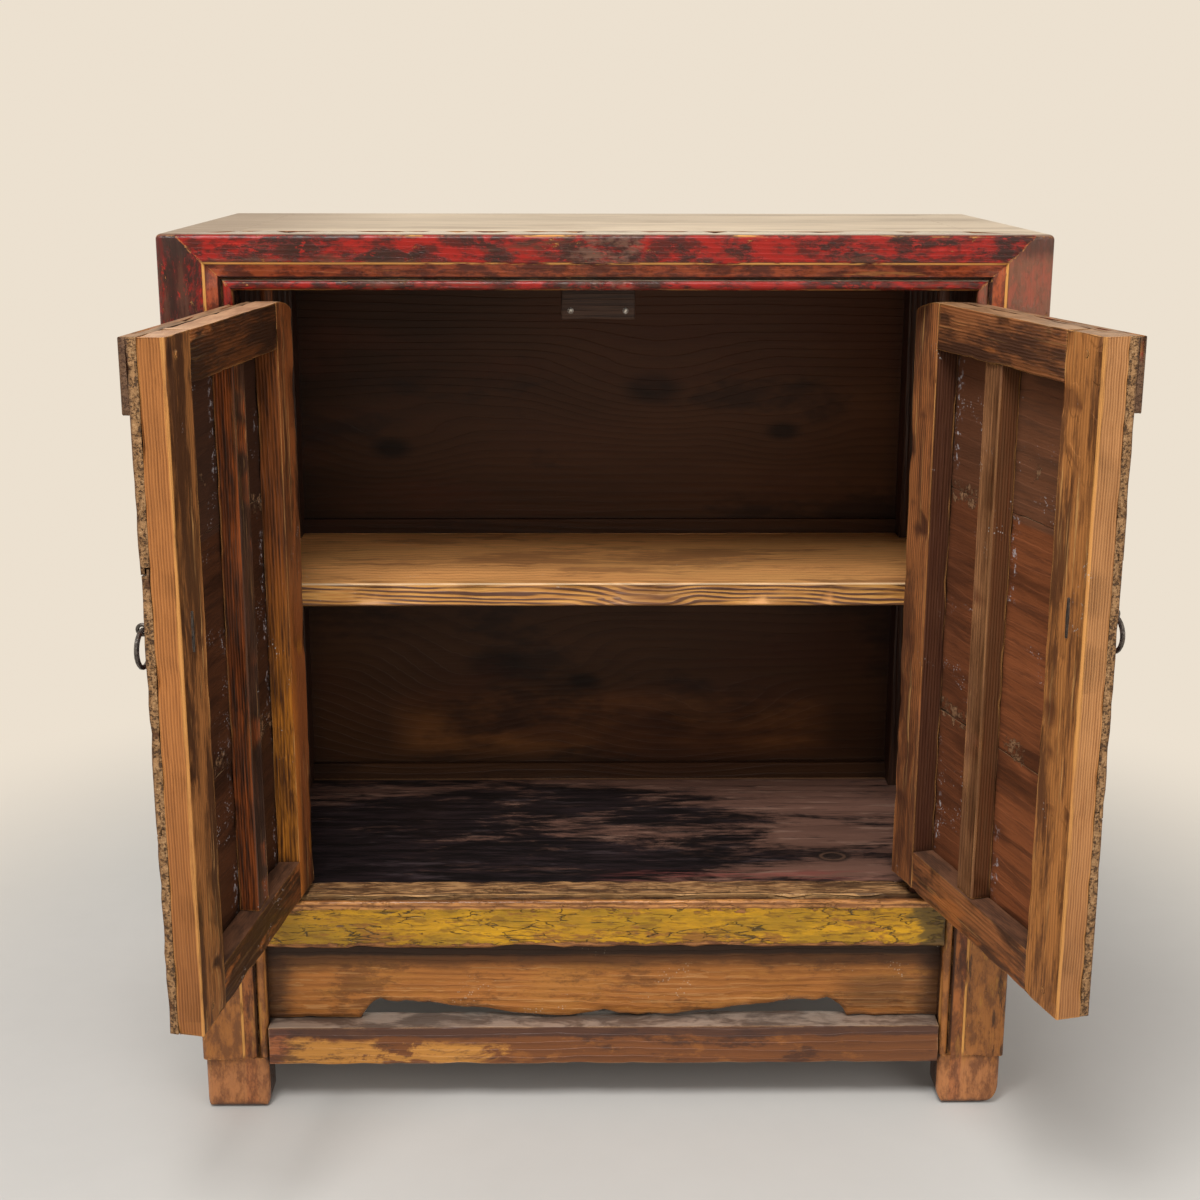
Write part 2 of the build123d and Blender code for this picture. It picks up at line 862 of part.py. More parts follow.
# ================================================================ assembly
def stretchers():
    """Low rails between the posts."""
    z = (stretcher_low, stretcher_top)
    near, far = stretcher_set, stretcher_set + stretcher_t
    return {
        "front_stretcher": cross_rail((front + near, front + far), z),
        "back_stretcher": cross_rail((back - far, back - near), z),
        "left_stretcher": depth_rail((-side + near, -side + far), z),
    }


def case():
    """All pieces of the case. The rails come before the posts that they are tenoned to."""
    made = stretchers()
    made["front_sill"] = sill()
    made["back_bottom_rail"] = back_bottom_rail()
    made["back_mid_rail"] = back_mid_rail()
    made["left_bottom_rail"] = side_bottom_rail()
    made["left_shelf_bearer"] = left_bearer()
    made["left_top_rail"] = left_top_rail()
    made["left_side_panel"] = bar(*side_panel)
    made["left_back_post"] = back_post()
    for name in [name for name in made if name.startswith("left_")]:
        made[name.replace("left_", "right_")] = mirrored(made[name])
    made["left_front_post"] = front_post(left_outer_wear, left_inner_wear)
    made["right_front_post"] = mirrored(front_post(right_outer_wear, right_inner_wear))
    made["front_top_rail"] = front_top_rail()
    made["back_top_rail"] = back_top_rail()
    made["top_panel"] = top_panel()
    for name, limits in zip(("left", "right"), top_battens):
        made[f"{name}_top_batten"] = bar(*limits)
    made["bottom_panel"] = bottom_panel()
    made["bottom_batten"] = bar(*bottom_batten)
    made["upper_back_panel"] = bar(*upper_panel)
    made["lower_back_panel"] = bar(*lower_panel)
    made["shelf"] = shelf()
    made["apron"] = apron()
    made["door_stop_block"] = stop_block()
    made["door_stop_nails"] = stop_nails()
    return made


os.makedirs("parts", exist_ok=True)
pieces = {
    **case(),
    **door("left", left_foot_gap, left_turn),
    **door("right", right_foot_gap, right_turn),
}
for name, piece in pieces.items():
    export_step(piece, f"parts/{name}.step")
print(len(pieces), "pieces written")
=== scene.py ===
"""Kang cabinet: worn lacquer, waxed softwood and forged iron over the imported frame."""
import math

import bmesh
import bpy
from mathutils import Matrix, Vector, noise


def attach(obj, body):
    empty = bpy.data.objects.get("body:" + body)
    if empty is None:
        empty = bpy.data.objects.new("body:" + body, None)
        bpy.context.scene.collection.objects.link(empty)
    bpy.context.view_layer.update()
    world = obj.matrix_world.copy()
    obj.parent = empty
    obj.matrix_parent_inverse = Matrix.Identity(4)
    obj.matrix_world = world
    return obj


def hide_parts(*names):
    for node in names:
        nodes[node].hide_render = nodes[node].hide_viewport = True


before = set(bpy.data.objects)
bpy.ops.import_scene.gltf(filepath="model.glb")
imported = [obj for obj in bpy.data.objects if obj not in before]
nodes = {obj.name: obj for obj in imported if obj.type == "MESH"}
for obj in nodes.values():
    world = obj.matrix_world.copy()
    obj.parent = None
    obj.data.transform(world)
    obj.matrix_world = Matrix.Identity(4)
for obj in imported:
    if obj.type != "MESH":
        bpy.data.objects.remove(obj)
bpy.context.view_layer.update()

# ------------------------------------------------------------------ sizes, in metres
SIGHT = 0.343           # half of the opening's width
UNDER = 0.833           # underside of the top frame
HINGE = 0.3415          # hinge edge of a closed leaf, from the middle
LEAF = 0.3405           # width of a leaf
PIVOT = (0.3155, -0.1725)
DOOR_FACE = -0.187      # outer face of a closed leaf
OPEN = {"left": -98.0, "right": 105.0}      # how far the leaves stand open, in degrees
LOW = {"left": 0.233, "right": 0.242}       # foot of each leaf
# the moulding round the opening, as distances from the sight edge
GROOVE = (0.0095, 0.0126)
BAND = (0.0125, 0.0238)
GOLD_LINE = (0.0236, 0.0258)
LIP = (0.0002, 0.002)
# heights and depths at which a colour changes
FOOT = (0.055, 0.062)           # the moulding ends above the feet
SILL_LIP = (0.2195, 0.2215)     # the sill's face ends, and its bead starts
BEAD_BACK = (-0.1945, -0.1935)
STRIP_FRONT = (-0.182, -0.180)  # the strip that the doors close on
OUTSIDE = (0.398, 0.401)        # of the case's sides
BACK_OUTSIDE = (0.1915, 0.1925)
SHELF_FRONT = (-0.0608, -0.0598)
KNOT = (0.247, -0.066)          # in the case's floor, x and y
# in a leaf, from its outer face or from its foot
MUNTIN_FACE = 0.0262
FRAME_FACE = 0.0295
BOARD_SKIN = (0.0008, 0.0016)   # lacquer of the boards' outer face
UPPER_JOINT = (0.399, 0.402)    # between the middle and the upper board
CREAM = (0.84, 0.75, 0.63)      # the background far from the cabinet


def closing(side):
    """Matrix from a leaf's rest place to its closed place."""
    x = PIVOT[0] * (-1 if side == "left" else 1)
    pivot = Vector((x, PIVOT[1], 0))
    turn = Matrix.Rotation(-math.radians(OPEN[side]), 4, "Z")
    return Matrix.Translation(pivot) @ turn @ Matrix.Translation(-pivot)


# ------------------------------------------------------------------ node helpers
class Wire:
    """A value in a node tree. Sums and products of it make the nodes for them."""

    def __init__(self, net, socket):
        self.net, self.socket = net, socket

    def __add__(self, other):
        return self.net.calc("ADD", self, other)

    def __radd__(self, other):
        return self.net.calc("ADD", other, self)

    def __sub__(self, other):
        return self.net.calc("SUBTRACT", self, other)

    def __rsub__(self, other):
        return self.net.calc("SUBTRACT", other, self)

    def __mul__(self, other):
        return self.net.calc("MULTIPLY", self, other)

    def __rmul__(self, other):
        return self.net.calc("MULTIPLY", other, self)


class Net:
    """A material and short ways to write its nodes."""

    def __init__(self, name):
        self.mat = bpy.data.materials.new(name)
        self.mat.use_nodes = True
        self.tree = self.mat.node_tree
        self.tree.nodes.clear()
        where = self.add("ShaderNodeTexCoord")
        self.here = self.wire(where, "Object")
        self.facing = self.wire(where, "Normal")
        self.chance = self.wire(self.add("ShaderNodeObjectInfo"), "Random")

    def add(self, kind, ins=None, **props):
        node = self.tree.nodes.new(kind)
        for key, value in props.items():
            setattr(node, key, value)
        for key, value in (ins or {}).items():
            self.put(node.inputs[key], value)
        return node

    def wire(self, node, output=0):
        return Wire(self, node.outputs[output])

    def put(self, socket, value):
        if isinstance(value, Wire):
            self.tree.links.new(value.socket, socket)
        elif socket.type == "RGBA" and len(value) == 3:
            socket.default_value = (*value, 1)
        else:
            socket.default_value = value

    def calc(self, op, *args, clamp=False):
        node = self.add("ShaderNodeMath", operation=op, use_clamp=clamp)
        for socket, value in zip(node.inputs, args):
            self.put(socket, value)
        return self.wire(node)

    def most(self, *parts):
        out = parts[0]
        for part in parts[1:]:
            out = self.calc("MAXIMUM", out, part)
        return out

    def inverse(self, a):
        return self.calc("SUBTRACT", 1.0, a, clamp=True)

    def split(self, vector):
        node = self.add("ShaderNodeSeparateXYZ", {0: vector})
        return [self.wire(node, i) for i in range(3)]

    def join(self, x, y, z):
        return self.wire(self.add("ShaderNodeCombineXYZ", {0: x, 1: y, 2: z}))

    def lie(self, grain):
        """Keep the place of a point, with the length along the grain first."""
        x, y, z = self.split(self.here)
        self.axes = {"x": (x, y, z), "y": (y, x, z), "z": (z, x, y)}[grain]

    def scaled(self, sizes, shift=0.0):
        """The place, each length of it times its size, moved along by shift."""
        a, b, c = self.axes
        a = self.calc("MULTIPLY_ADD", a, sizes[0], shift)
        return self.join(a, b * sizes[1], c * sizes[2])

    def noise(self, p, detail=3.0, rough=0.55, warp=0.0, scale=1.0):
        ins = {"Vector": p, "Scale": scale, "Detail": detail, "Roughness": rough,
               "Distortion": warp}
        return self.wire(self.add("ShaderNodeTexNoise", ins), "Fac")

    def cells(self, p, feature="F1", scale=1.0):
        ins = {"Vector": p, "Scale": scale}
        return self.wire(self.add("ShaderNodeTexVoronoi", ins, feature=feature), "Distance")

    def ease(self, x, low, high):
        """0 below low, 1 above high, and smooth between."""
        ins = {"Value": x, "From Min": low, "From Max": high}
        node = self.add("ShaderNodeMapRange", ins, interpolation_type="SMOOTHSTEP")
        return self.wire(node, "Result")

    def fall(self, x, low, high):
        """1 below low, 0 above high, and smooth between."""
        return self.inverse(self.ease(x, low, high))

    def sway(self, x, amount):
        """A noise that swings about zero, times an amount."""
        return (x - 0.5) * amount

    def jag(self, x, noise, amount):
        """A length that a noise moves to and fro, for a ragged border."""
        return x + self.sway(noise, amount)

    def field(self, sizes, shift=0.0, *rest):
        """A noise stretched along the grain."""
        return self.noise(self.scaled(sizes, shift), *rest)

    def within(self, x, low, high, soft):
        """1 between two limits, with soft borders."""
        rise = self.ease(x, low - soft, low + soft)
        return rise * self.fall(x, high - soft, high + soft)

    def patch(self, along, across, low, high, seed=0.0, detail=5.0, rough=0.65, warp=0.0):
        """Irregular patches, longer along the grain; other pieces get other ones."""
        shift = self.calc("MULTIPLY_ADD", self.chance, 23.0, seed)
        p = self.scaled((along, across, across), shift)
        return self.ease(self.noise(p, detail, rough, warp), low, high)

    def mix(self, share, a, b, mode="MIX"):
        node = self.add("ShaderNodeMix", data_type="RGBA", blend_type=mode)
        self.put(node.inputs[0], share)
        self.put(node.inputs[6], a)
        self.put(node.inputs[7], b)
        return self.wire(node, 2)

    def grade(self, x, low, high, first, second):
        """From the first colour to the second, as x goes from low to high."""
        return self.mix(self.ease(x, low, high), first, second)

    def lay(self, colour, tint, mask, amount=1.0):
        """Lay a tint over a colour where the mask says."""
        return self.mix(mask * amount, colour, tint)

    def coats(self, colour, rows):
        """Lay several tints, one over the other."""
        for row in rows:
            colour = self.lay(colour, *row)
        return colour

    def shade(self, colour, factor):
        """A colour made darker or lighter by a number."""
        return self.mix(1.0, colour, self.join(factor, factor, factor), "MULTIPLY")

    def arris(self, radius=0.004, low=0.015, high=0.22):
        """1 on the edges of a piece, 0 away from them."""
        round_normal = self.add("ShaderNodeBevel", {"Radius": radius}, samples=4)
        true = self.add("ShaderNodeNewGeometry")
        dot = self.add("ShaderNodeVectorMath", operation="DOT_PRODUCT")
        self.put(dot.inputs[0], self.wire(round_normal))
        self.put(dot.inputs[1], self.wire(true, "Normal"))
        return self.ease(1.0 - self.wire(dot, "Value"), low, high)

    def nook(self, distance=0.02, low=0.15, high=0.8):
        """1 deep in a corner between pieces, 0 in the open: the mask of grime and painted shade in
        corners.
        """
        node = self.add("ShaderNodeAmbientOcclusion", {"Distance": distance}, samples=5)
        return self.ease(1.0 - self.wire(node, "AO"), low, high)

    def upward(self, low=0.5, high=0.95):
        """1 on faces that look up."""
        return self.ease(self.split(self.facing)[2], low, high)

    def finish(self, colour, rough, height=None, depth=0.001, coat=0.0, metal=0.0, gloss=0.3):
        shader = self.add("ShaderNodeBsdfPrincipled")
        self.put(shader.inputs["Base Color"], colour)
        self.put(shader.inputs["Roughness"], rough)
        shader.inputs["Metallic"].default_value = metal
        shader.inputs["Specular IOR Level"].default_value = gloss
        if coat:
            shader.inputs["Coat Weight"].default_value = coat
            shader.inputs["Coat Roughness"].default_value = 0.18
        if height is not None:
            bump = self.add("ShaderNodeBump", {"Strength": 1.0, "Distance": depth,
                                               "Height": height})
            self.put(shader.inputs["Normal"], self.wire(bump))
        out = self.add("ShaderNodeOutputMaterial")
        self.tree.links.new(shader.outputs[0], out.inputs[0])
        return self.mat


def leaf_place(net, side):
    """Place of a point in a closed leaf: from the hinge edge, from the outer face, and up."""
    m = closing(side)
    ins = {"Vector": net.here, "Location": m.to_translation(), "Rotation": m.to_euler()}
    x, y, z = net.split(net.wire(net.add("ShaderNodeMapping", ins)))
    s = x + HINGE if side == "left" else HINGE - x
    return s, y - DOOR_FACE, z


# ------------------------------------------------------------------ wood
def timber(net, spacing=0.005, heart=(0.05, 0.09), taper=0.012, wave=0.02, knots=(), sharp=0.88):
    """Year rings and fibres of a softwood board, solid through the piece.

    Returns the dark late wood, the fibres and the knots, each from 0 to 1.
    """
    a, b, c = net.axes
    shift = net.chance * 31.0
    drift = net.field((1.7, 6, 6), shift, 2.0)
    sway = net.field((1.3, 5, 5), shift + 7.3, 2.0)
    vary = net.calc("MULTIPLY_ADD", net.chance, 0.08, heart[0])
    b2 = b + net.sway(drift, wave) + vary
    c2 = c + net.sway(sway, wave) + heart[1]
    r = net.calc("SQRT", b2 * b2 + c2 * c2)
    r = r + a * taper
    dark = None
    for along, across, size in knots:
        da = (a - along) * 0.55
        db = c - across
        d = net.calc("SQRT", da * da + db * db)
        near = net.fall(d, size * 0.4, size * 4.5)
        r = r + near * (size * 1.4)
        core = net.fall(d, size * 0.35, size * 1.25)
        dark = core if dark is None else net.most(dark, core)
    jitter = net.field((9, 70, 70), shift, 2.0)
    u = r * (1 / spacing) + jitter * 0.55
    f = net.calc("FRACT", u)
    late = net.ease(f, 0.3, sharp) * net.fall(f, 0.93, 1.0)
    fibre = net.field((16, 430, 430), shift, 3.0, 0.65)
    return late, fibre, dark


def bare(net, light, dark, contrast=0.8, fine=1.1, cloud=0.9, **ring):
    """Colour, relief, late wood and fibres of bare or waxed wood."""
    late, fibre, knot = timber(net, **ring)
    share = net.jag(late * contrast, fibre, fine)
    colour = net.mix(net.calc("ADD", share, 0.0, clamp=True), light, dark)
    shift = net.chance * 17.0
    tone = net.field((2.6, 11, 11), shift, 4.0, 0.6)
    colour = net.shade(colour, net.calc("MULTIPLY_ADD", tone, cloud, 1 - cloud / 2))
    if knot is not None:
        colour = net.lay(colour, tuple(v * 0.22 for v in dark), knot, 0.85)
    relief = late * 0.5 + fibre * 0.6
    return colour, relief, late, fibre


def spots(net, seed=4.4, size=190.0, low=0.58, high=0.66):
    """Spatters of old whitewash, in loose groups."""
    group = net.patch(9, 16, low, high, seed, 3.0)
    dot = net.fall(net.cells(net.scaled((size, size, size))), 0.16, 0.3)
    pick = net.patch(80, 80, 0.5, 0.56, seed + 2, 1.0)
    return group * dot * pick


# ------------------------------------------------------------------ materials of the case
def moulded(name, grain):
    """Red and black lacquer of the top rail and of the upper posts, with its mouldings."""
    net = Net(name)
    x, y, z = net.split(net.here)
    net.lie(grain)
    rail = grain == "x"
    h = z - UNDER if rail else net.calc("ABSOLUTE", x) - SIGHT
    wood, relief, *_ = bare(net, (0.6, 0.27, 0.075), (0.3, 0.11, 0.03))
    fine = net.field((40, 85, 85), net.chance, 6.0, 0.7)
    paint = net.grade(fine, 0.42, 0.6, (0.31, 0.012, 0.007), (0.085, 0.011, 0.007))
    dark = net.patch(13, 30, 0.49, 0.57, 1.0, 9.0, 0.76, 0.3)
    paint = net.coats(paint, [
        ((0.028, 0.012, 0.008), dark, 0.9),
        ((0.1, 0.036, 0.02), net.patch(5, 36, 0.54, 0.64, 6.0, 7.0, 0.72), 0.75),  # smoke
        ((0.42, 0.02, 0.012), net.patch(60, 150, 0.6, 0.65, 9.0, 5.0, 0.75), 0.75),  # flecks
        ((0.36, 0.3, 0.27), net.patch(34, 120, 0.68, 0.72, 12.0, 6.0, 0.75), 0.6),  # ash
    ])
    if rail:
        around = net.jag(x, fine, 0.12)
        spot = (net.within(around, -0.028, 0.026, 0.012)
                * net.patch(60, 120, 0.44, 0.56, 3.0, 6.0, 0.75))
        paint = net.lay(paint, (0.2, 0.1, 0.065), spot, 0.5)
    else:
        # the posts lose their red towards the foot, and turn to worn brown and olive
        ragged = net.field((7, 26, 26), 0.0, 6.0, 0.68)
        low = net.fall(net.jag(z, ragged, 0.3), 0.2, 0.5)
        brown = net.grade(fine, 0.42, 0.6, (0.38, 0.142, 0.036), (0.2, 0.074, 0.024))
        brown = net.coats(brown, [
            ((0.045, 0.022, 0.013), net.patch(8, 42, 0.54, 0.6, 2.2, 7.0, 0.74), 0.8),
            ((0.5, 0.23, 0.045), net.patch(11, 50, 0.55, 0.63, 5.2, 6.0, 0.72), 0.6),
        ])
        paint = net.mix(low, paint, brown)
        paint = net.coats(paint, [
            ((0.29, 0.13, 0.075), net.ease(x, 0.0, 0.1) * net.inverse(low), 0.6),  # the right post
            # dark post tops
            ((0.03, 0.018, 0.014), net.ease(net.jag(z, ragged, 0.04), 0.855, 0.87), 0.7),
        ])
        foot = net.fall(net.jag(z, ragged, 0.05), 0.035, 0.07)
        rosy = net.grade(fine, 0.42, 0.6, (0.5, 0.2, 0.075), (0.26, 0.1, 0.042))
        paint = net.lay(paint, rosy, foot, 0.85)
    band = net.within(h, *BAND, 0.0006)
    tone = net.grade(fine, 0.4, 0.58, (0.42, 0.09, 0.03), (0.14, 0.034, 0.017))
    tone = net.lay(tone, (0.5, 0.2, 0.06), net.patch(7, 130, 0.6, 0.66, 15.0, 5.0, 0.7), 0.8)
    if not rail:
        band = band * net.inverse(low * 0.7)
    paint = net.lay(paint, tone, band, 0.85)
    run = 1.0 if rail else net.ease(z, *FOOT)
    # the dark groove
    paint = net.lay(paint, (0.02, 0.009, 0.007), net.within(h, *GROOVE, 0.0005) * run, 0.85)
    # wood shows on every arris, and in chips
    edge = net.arris(0.0035)
    rub = net.field((13, 60, 60), net.chance + 3.1, 5.0, 0.68)
    chips = net.field((60, 150, 150), 8.8, 5.0, 0.74) + edge * 0.2 + net.sway(rub, 0.5)
    open_wood = net.ease(chips, 0.66, 0.71)
    line = net.within(h, *GOLD_LINE, 0.0003) * net.ease(rub, 0.37, 0.46) * run
    lip = net.fall(h, *LIP) * net.ease(rub, 0.44, 0.56) * run
    if rail:
        crest = net.ease(z, 0.8808, 0.8832) * net.ease(rub, 0.54, 0.6)
        line = net.most(line, crest)
    open_wood = net.most(open_wood, line, lip)
    bright = net.lay(wood, (0.85, 0.4, 0.1), line, 0.75)
    colour = net.mix(open_wood, paint, bright)
    reach = (0.038, 0.045) if rail else (0.052, 0.06)
    colour = net.coats(colour, [
        # inner faces
        ((0.04, 0.017, 0.01), net.ease(y, -0.193, -0.189) * net.fall(h, *reach), 0.93),
        # grime and painted shade in the corners
        ((0.02, 0.011, 0.007), net.nook(0.012), 0.75),
    ])
    if rail:
        colour = net.mix(net.upward(0.75, 0.97), colour, top_colour(net)[0])
    height = fine * 0.7 + net.inverse(open_wood) * 0.7 + relief * 0.35 + dark * 0.25
    return net.finish(colour, 0.25 + open_wood * 0.2, height, 0.0013, coat=0.12, gloss=0.22)


def top_colour(net):
    """Dusty, much polished top, its grain along the width; its pale colours are partly a painted
    reflection.
    """
    net.lie("x")
    # painted reflection: the pale grey-cream base colours stand in for the glancing reflection off
    # the polished top
    wood, relief, *_ = bare(net, (0.62, 0.5, 0.36), (0.41, 0.3, 0.2), 0.6, spacing=0.006,
                            heart=(0.3, 0.03), wave=0.04)
    wood = net.coats(wood, [
        ((0.17, 0.11, 0.075), net.patch(3, 16, 0.52, 0.7, 5.0, 6.0), 0.5),
        ((0.1, 0.06, 0.04), net.patch(9, 130, 0.6, 0.68, 8.0, 4.0), 0.5),
        # darker towards the left end
        ((0.2, 0.13, 0.085), net.fall(net.axes[0] + relief * 0.06, -0.36, -0.16), 0.65),
    ])
    chewed = net.field((25, 60, 60), 0.0, 5.0, 0.7)
    rim = net.fall(net.jag(net.axes[1], chewed, 0.016), -0.1985, -0.1945)
    wood = net.lay(wood, (0.13, 0.055, 0.03), rim, 0.8)
    return wood, relief


def top_wood(name):
    """The top frame and its panel: polished above, worn red lacquer at the sides."""
    net = Net(name)
    colour, relief = top_colour(net)
    net.lie("y")
    side = bare(net, (0.22, 0.045, 0.024), (0.08, 0.02, 0.013))[0]
    side = net.coats(side, [
        ((0.045, 0.02, 0.014), net.patch(6, 24, 0.48, 0.6, 1.0, 6.0), 0.8),
        ((0.5, 0.22, 0.07), net.arris(0.004), 0.6),
    ])
    colour = net.mix(net.upward(0.6, 0.9), side, colour)
    return net.finish(colour, 0.46 + relief * 0.12, relief, 0.0004, gloss=0.3)


def yellow_sill(name):
    """Crazed mustard lacquer on the face of the sill, worn bead and strip above it."""
    net = Net(name)
    x, y, z = net.split(net.here)
    net.lie("x")
    _, relief, late, _ = bare(net, (0.6, 0.27, 0.08), (0.3, 0.11, 0.035))
    blot = net.field((8, 34, 34), 1.7, 6.0, 0.65, 0.5)
    fine = net.field((45, 190, 190), 0.3, 5.0, 0.66)
    yellow = net.grade(blot, 0.4, 0.6, (0.64, 0.32, 0.009), (0.45, 0.22, 0.01))
    yellow = net.coats(yellow, [
        ((0.3, 0.165, 0.01), net.patch(6, 24, 0.46, 0.58, 3.7, 6.0, 0.7), 0.7),  # olive patches
        ((0.18, 0.08, 0.01), net.ease(fine, 0.5, 0.6), 0.6),
        ((0.28, 0.11, 0.02), net.patch(14, 50, 0.54, 0.6, 7.1, 7.0, 0.75), 0.85),
    ])
    # hair cracks lie along the grain, and only here and there
    p = net.scaled((30, 150, 150), net.sway(blot, 3.0))
    hair = net.fall(net.cells(p, "DISTANCE_TO_EDGE"), 0.0, 0.05)
    some = net.patch(22, 60, 0.48, 0.54, 9.4, 5.0, 0.7)
    crack = hair * some
    paint = net.lay(yellow, (0.04, 0.026, 0.01), crack, 0.9)
    loss = net.patch(13, 60, 0.615, 0.66, 11.3, 6.0, 0.74)
    paint = net.lay(paint, (0.13, 0.07, 0.03), loss, 0.85)
    edge = net.arris(0.005)
    low = net.fall(z, 0.179, 0.189)
    rag = (net.field((24, 70, 70), 6.1, 7.0, 0.75) + edge * 0.18 + low * 0.26
           + net.ease(x, 0.29, 0.345) * 0.08 + net.ease(z, 0.212, 0.219) * 0.1)
    worn = net.ease(rag, 0.64, 0.68)
    brown = net.grade(fine, 0.4, 0.6, (0.15, 0.055, 0.02), (0.38, 0.155, 0.045))
    face = net.mix(worn, paint, brown)
    face = net.lay(face, (0.085, 0.055, 0.014), net.ease(net.jag(x, blot, 0.1), 0.313, 0.322), 0.8)
    # above the face: the bead, its groove, and the strip that the doors close on
    above = net.ease(z, *SILL_LIP)
    bead = net.grade(fine + late * 0.3, 0.42, 0.7, (0.62, 0.27, 0.08), (0.28, 0.11, 0.035))
    step = net.grade(fine, 0.35, 0.65, (0.18, 0.068, 0.024), (0.06, 0.025, 0.013))
    strip = net.grade(fine, 0.4, 0.6, (0.58, 0.31, 0.13), (0.24, 0.115, 0.05))
    strip = net.coats(strip, [
        ((0.7, 0.4, 0.16), net.within(y, -0.1812, -0.1782, 0.0005), 0.75),
        ((0.06, 0.028, 0.017), net.within(y, -0.1778, -0.1755, 0.0005), 0.6),
        ((0.07, 0.035, 0.022), net.patch(10, 90, 0.5, 0.58, 2.9, 6.0, 0.7), 0.75),
    ])
    top = net.grade(y, *BEAD_BACK, bead, step)
    top = net.grade(y, *STRIP_FRONT, top, strip)
    colour = net.mix(above, face, top)
    # grime and painted shade in the corners
    colour = net.lay(colour, (0.018, 0.012, 0.008), net.nook(0.01), 0.85)
    height = fine * 0.5 + net.inverse(worn) * 0.8 + crack * -0.8 + loss * -0.4 + relief * 0.3
    return net.finish(colour, 0.28 + worn * 0.15, height, 0.0011, coat=0.15, gloss=0.25)


def worn_apron(name):
    """Brown apron, in the shade of the sill above, and dark along its cut edge."""
    net = Net(name)
    x, _, z = net.split(net.here)
    net.lie("x")
    wood, relief, _, fibre = bare(net, (0.4, 0.15, 0.036), (0.24, 0.085, 0.022), 0.5, 1.6,
                                  spacing=0.007, wave=0.05)
    wood = net.coats(wood, [
        ((0.46, 0.19, 0.042), net.patch(8, 30, 0.5, 0.6, 1.3, 7.0, 0.74), 0.6),
        ((0.1, 0.042, 0.018), net.patch(12, 30, 0.51, 0.6, 4.0, 9.0, 0.78), 0.55),
        ((0.56, 0.28, 0.1), net.patch(6, 340, 0.57, 0.62, 7.0, 3.0), 0.5),  # pale lines
    ])
    ragged = net.field((14, 60, 60), 3.3, 7.0, 0.74)
    wobble = net.sway(ragged, 0.022)
    sag = (net.noise(net.join(x * 4.0, 0.0, 0.0), 2.0) - 0.3) * 0.03
    wood = net.coats(wood, [
        ((0.085, 0.037, 0.018), net.ease(z + wobble + sag, 0.147, 0.161), 0.8),  # shade of the sill
        # painted shadow, darkest right under the sill
        ((0.024, 0.015, 0.011), net.ease(z + wobble * 0.3, 0.1575, 0.162), 0.85),
    ])
    ends = net.ease(net.calc("ABSOLUTE", x) + wobble * 2.0, 0.31, 0.338)
    wood = net.lay(wood, (0.04, 0.02, 0.012), ends, 0.8)
    stain = (net.within(x + wobble, 0.245, 0.318, 0.02) * net.ease(z - wobble, 0.09, 0.104)
             * net.fall(z + wobble, 0.128, 0.142))
    wood = net.lay(wood, (0.04, 0.022, 0.014), stain, 0.55)
    edge = net.arris(0.009, 0.004, 0.14)
    lower = net.fall(z + wobble, 0.112, 0.13)
    wood = net.coats(wood, [
        ((0.02, 0.012, 0.009), edge * lower, 0.9),
        ((0.6, 0.5, 0.38), spots(net, 8.0, 330.0, 0.54, 0.62), 0.6),
    ])
    height = relief + ragged * 1.2
    return net.finish(wood, 0.4 + fibre * 0.15, height, 0.0011, gloss=0.2)


def worn_stretcher(name, grain):
    """Low rails: bare golden patches on dark wax, and a dusty top."""
    net = Net(name)
    x, _, z = net.split(net.here)
    net.lie(grain)
    wood, relief, _, fibre = bare(net, (0.2, 0.066, 0.018), (0.11, 0.036, 0.012), 0.4, 1.3,
                                  spacing=0.008, wave=0.04)
    ragged = net.field((15, 36, 36), 3.3, 7.0, 0.72, 0.4)
    amber = net.ease(net.field((19, 40, 40), 8.0, 5.0, 0.7), 0.54, 0.64)
    wood = net.lay(wood, (0.34, 0.12, 0.024), amber, 0.6)
    if grain == "x":
        glow = (net.ease(ragged + (x + 0.15) * -0.9, 0.5, 0.58)
                * net.fall(net.jag(z, ragged, 0.05), 0.072, 0.08))
        wood = net.coats(wood, [
            ((0.62, 0.27, 0.05), glow, 0.85),
            ((0.3, 0.08, 0.035), net.fall(net.jag(x, ragged, 0.06), -0.335, -0.318), 0.8),  # rosy
        ])
    else:
        wood = net.lay(wood, (0.42, 0.18, 0.05), net.ease(ragged, 0.52, 0.62), 0.7)
    wood = net.coats(wood, [
        ((0.055, 0.021, 0.012), net.patch(9, 34, 0.52, 0.6, 5.0, 8.0, 0.75), 0.75),
        ((0.06, 0.026, 0.018), net.ease(net.jag(z, ragged, 0.02), 0.0775, 0.081), 0.8),  # upper rim
    ])
    pale = net.grade(ragged, 0.42, 0.58, (0.34, 0.25, 0.19), (0.13, 0.088, 0.066))
    wood = net.mix(net.upward(0.7, 0.97), wood, pale)
    # grime and painted shade in the corners
    wood = net.lay(wood, (0.02, 0.013, 0.009), net.nook(0.015), 0.6)
    rub = net.field((14, 60, 60), 1.9, 4.0, 0.65)
    wood = net.lay(wood, (0.72, 0.42, 0.2), net.arris(0.003) * net.ease(rub, 0.4, 0.54), 0.7)
    height = relief + ragged * 0.9
    return net.finish(wood, 0.27 + fibre * 0.12, height, 0.0009, coat=0.15, gloss=0.3)


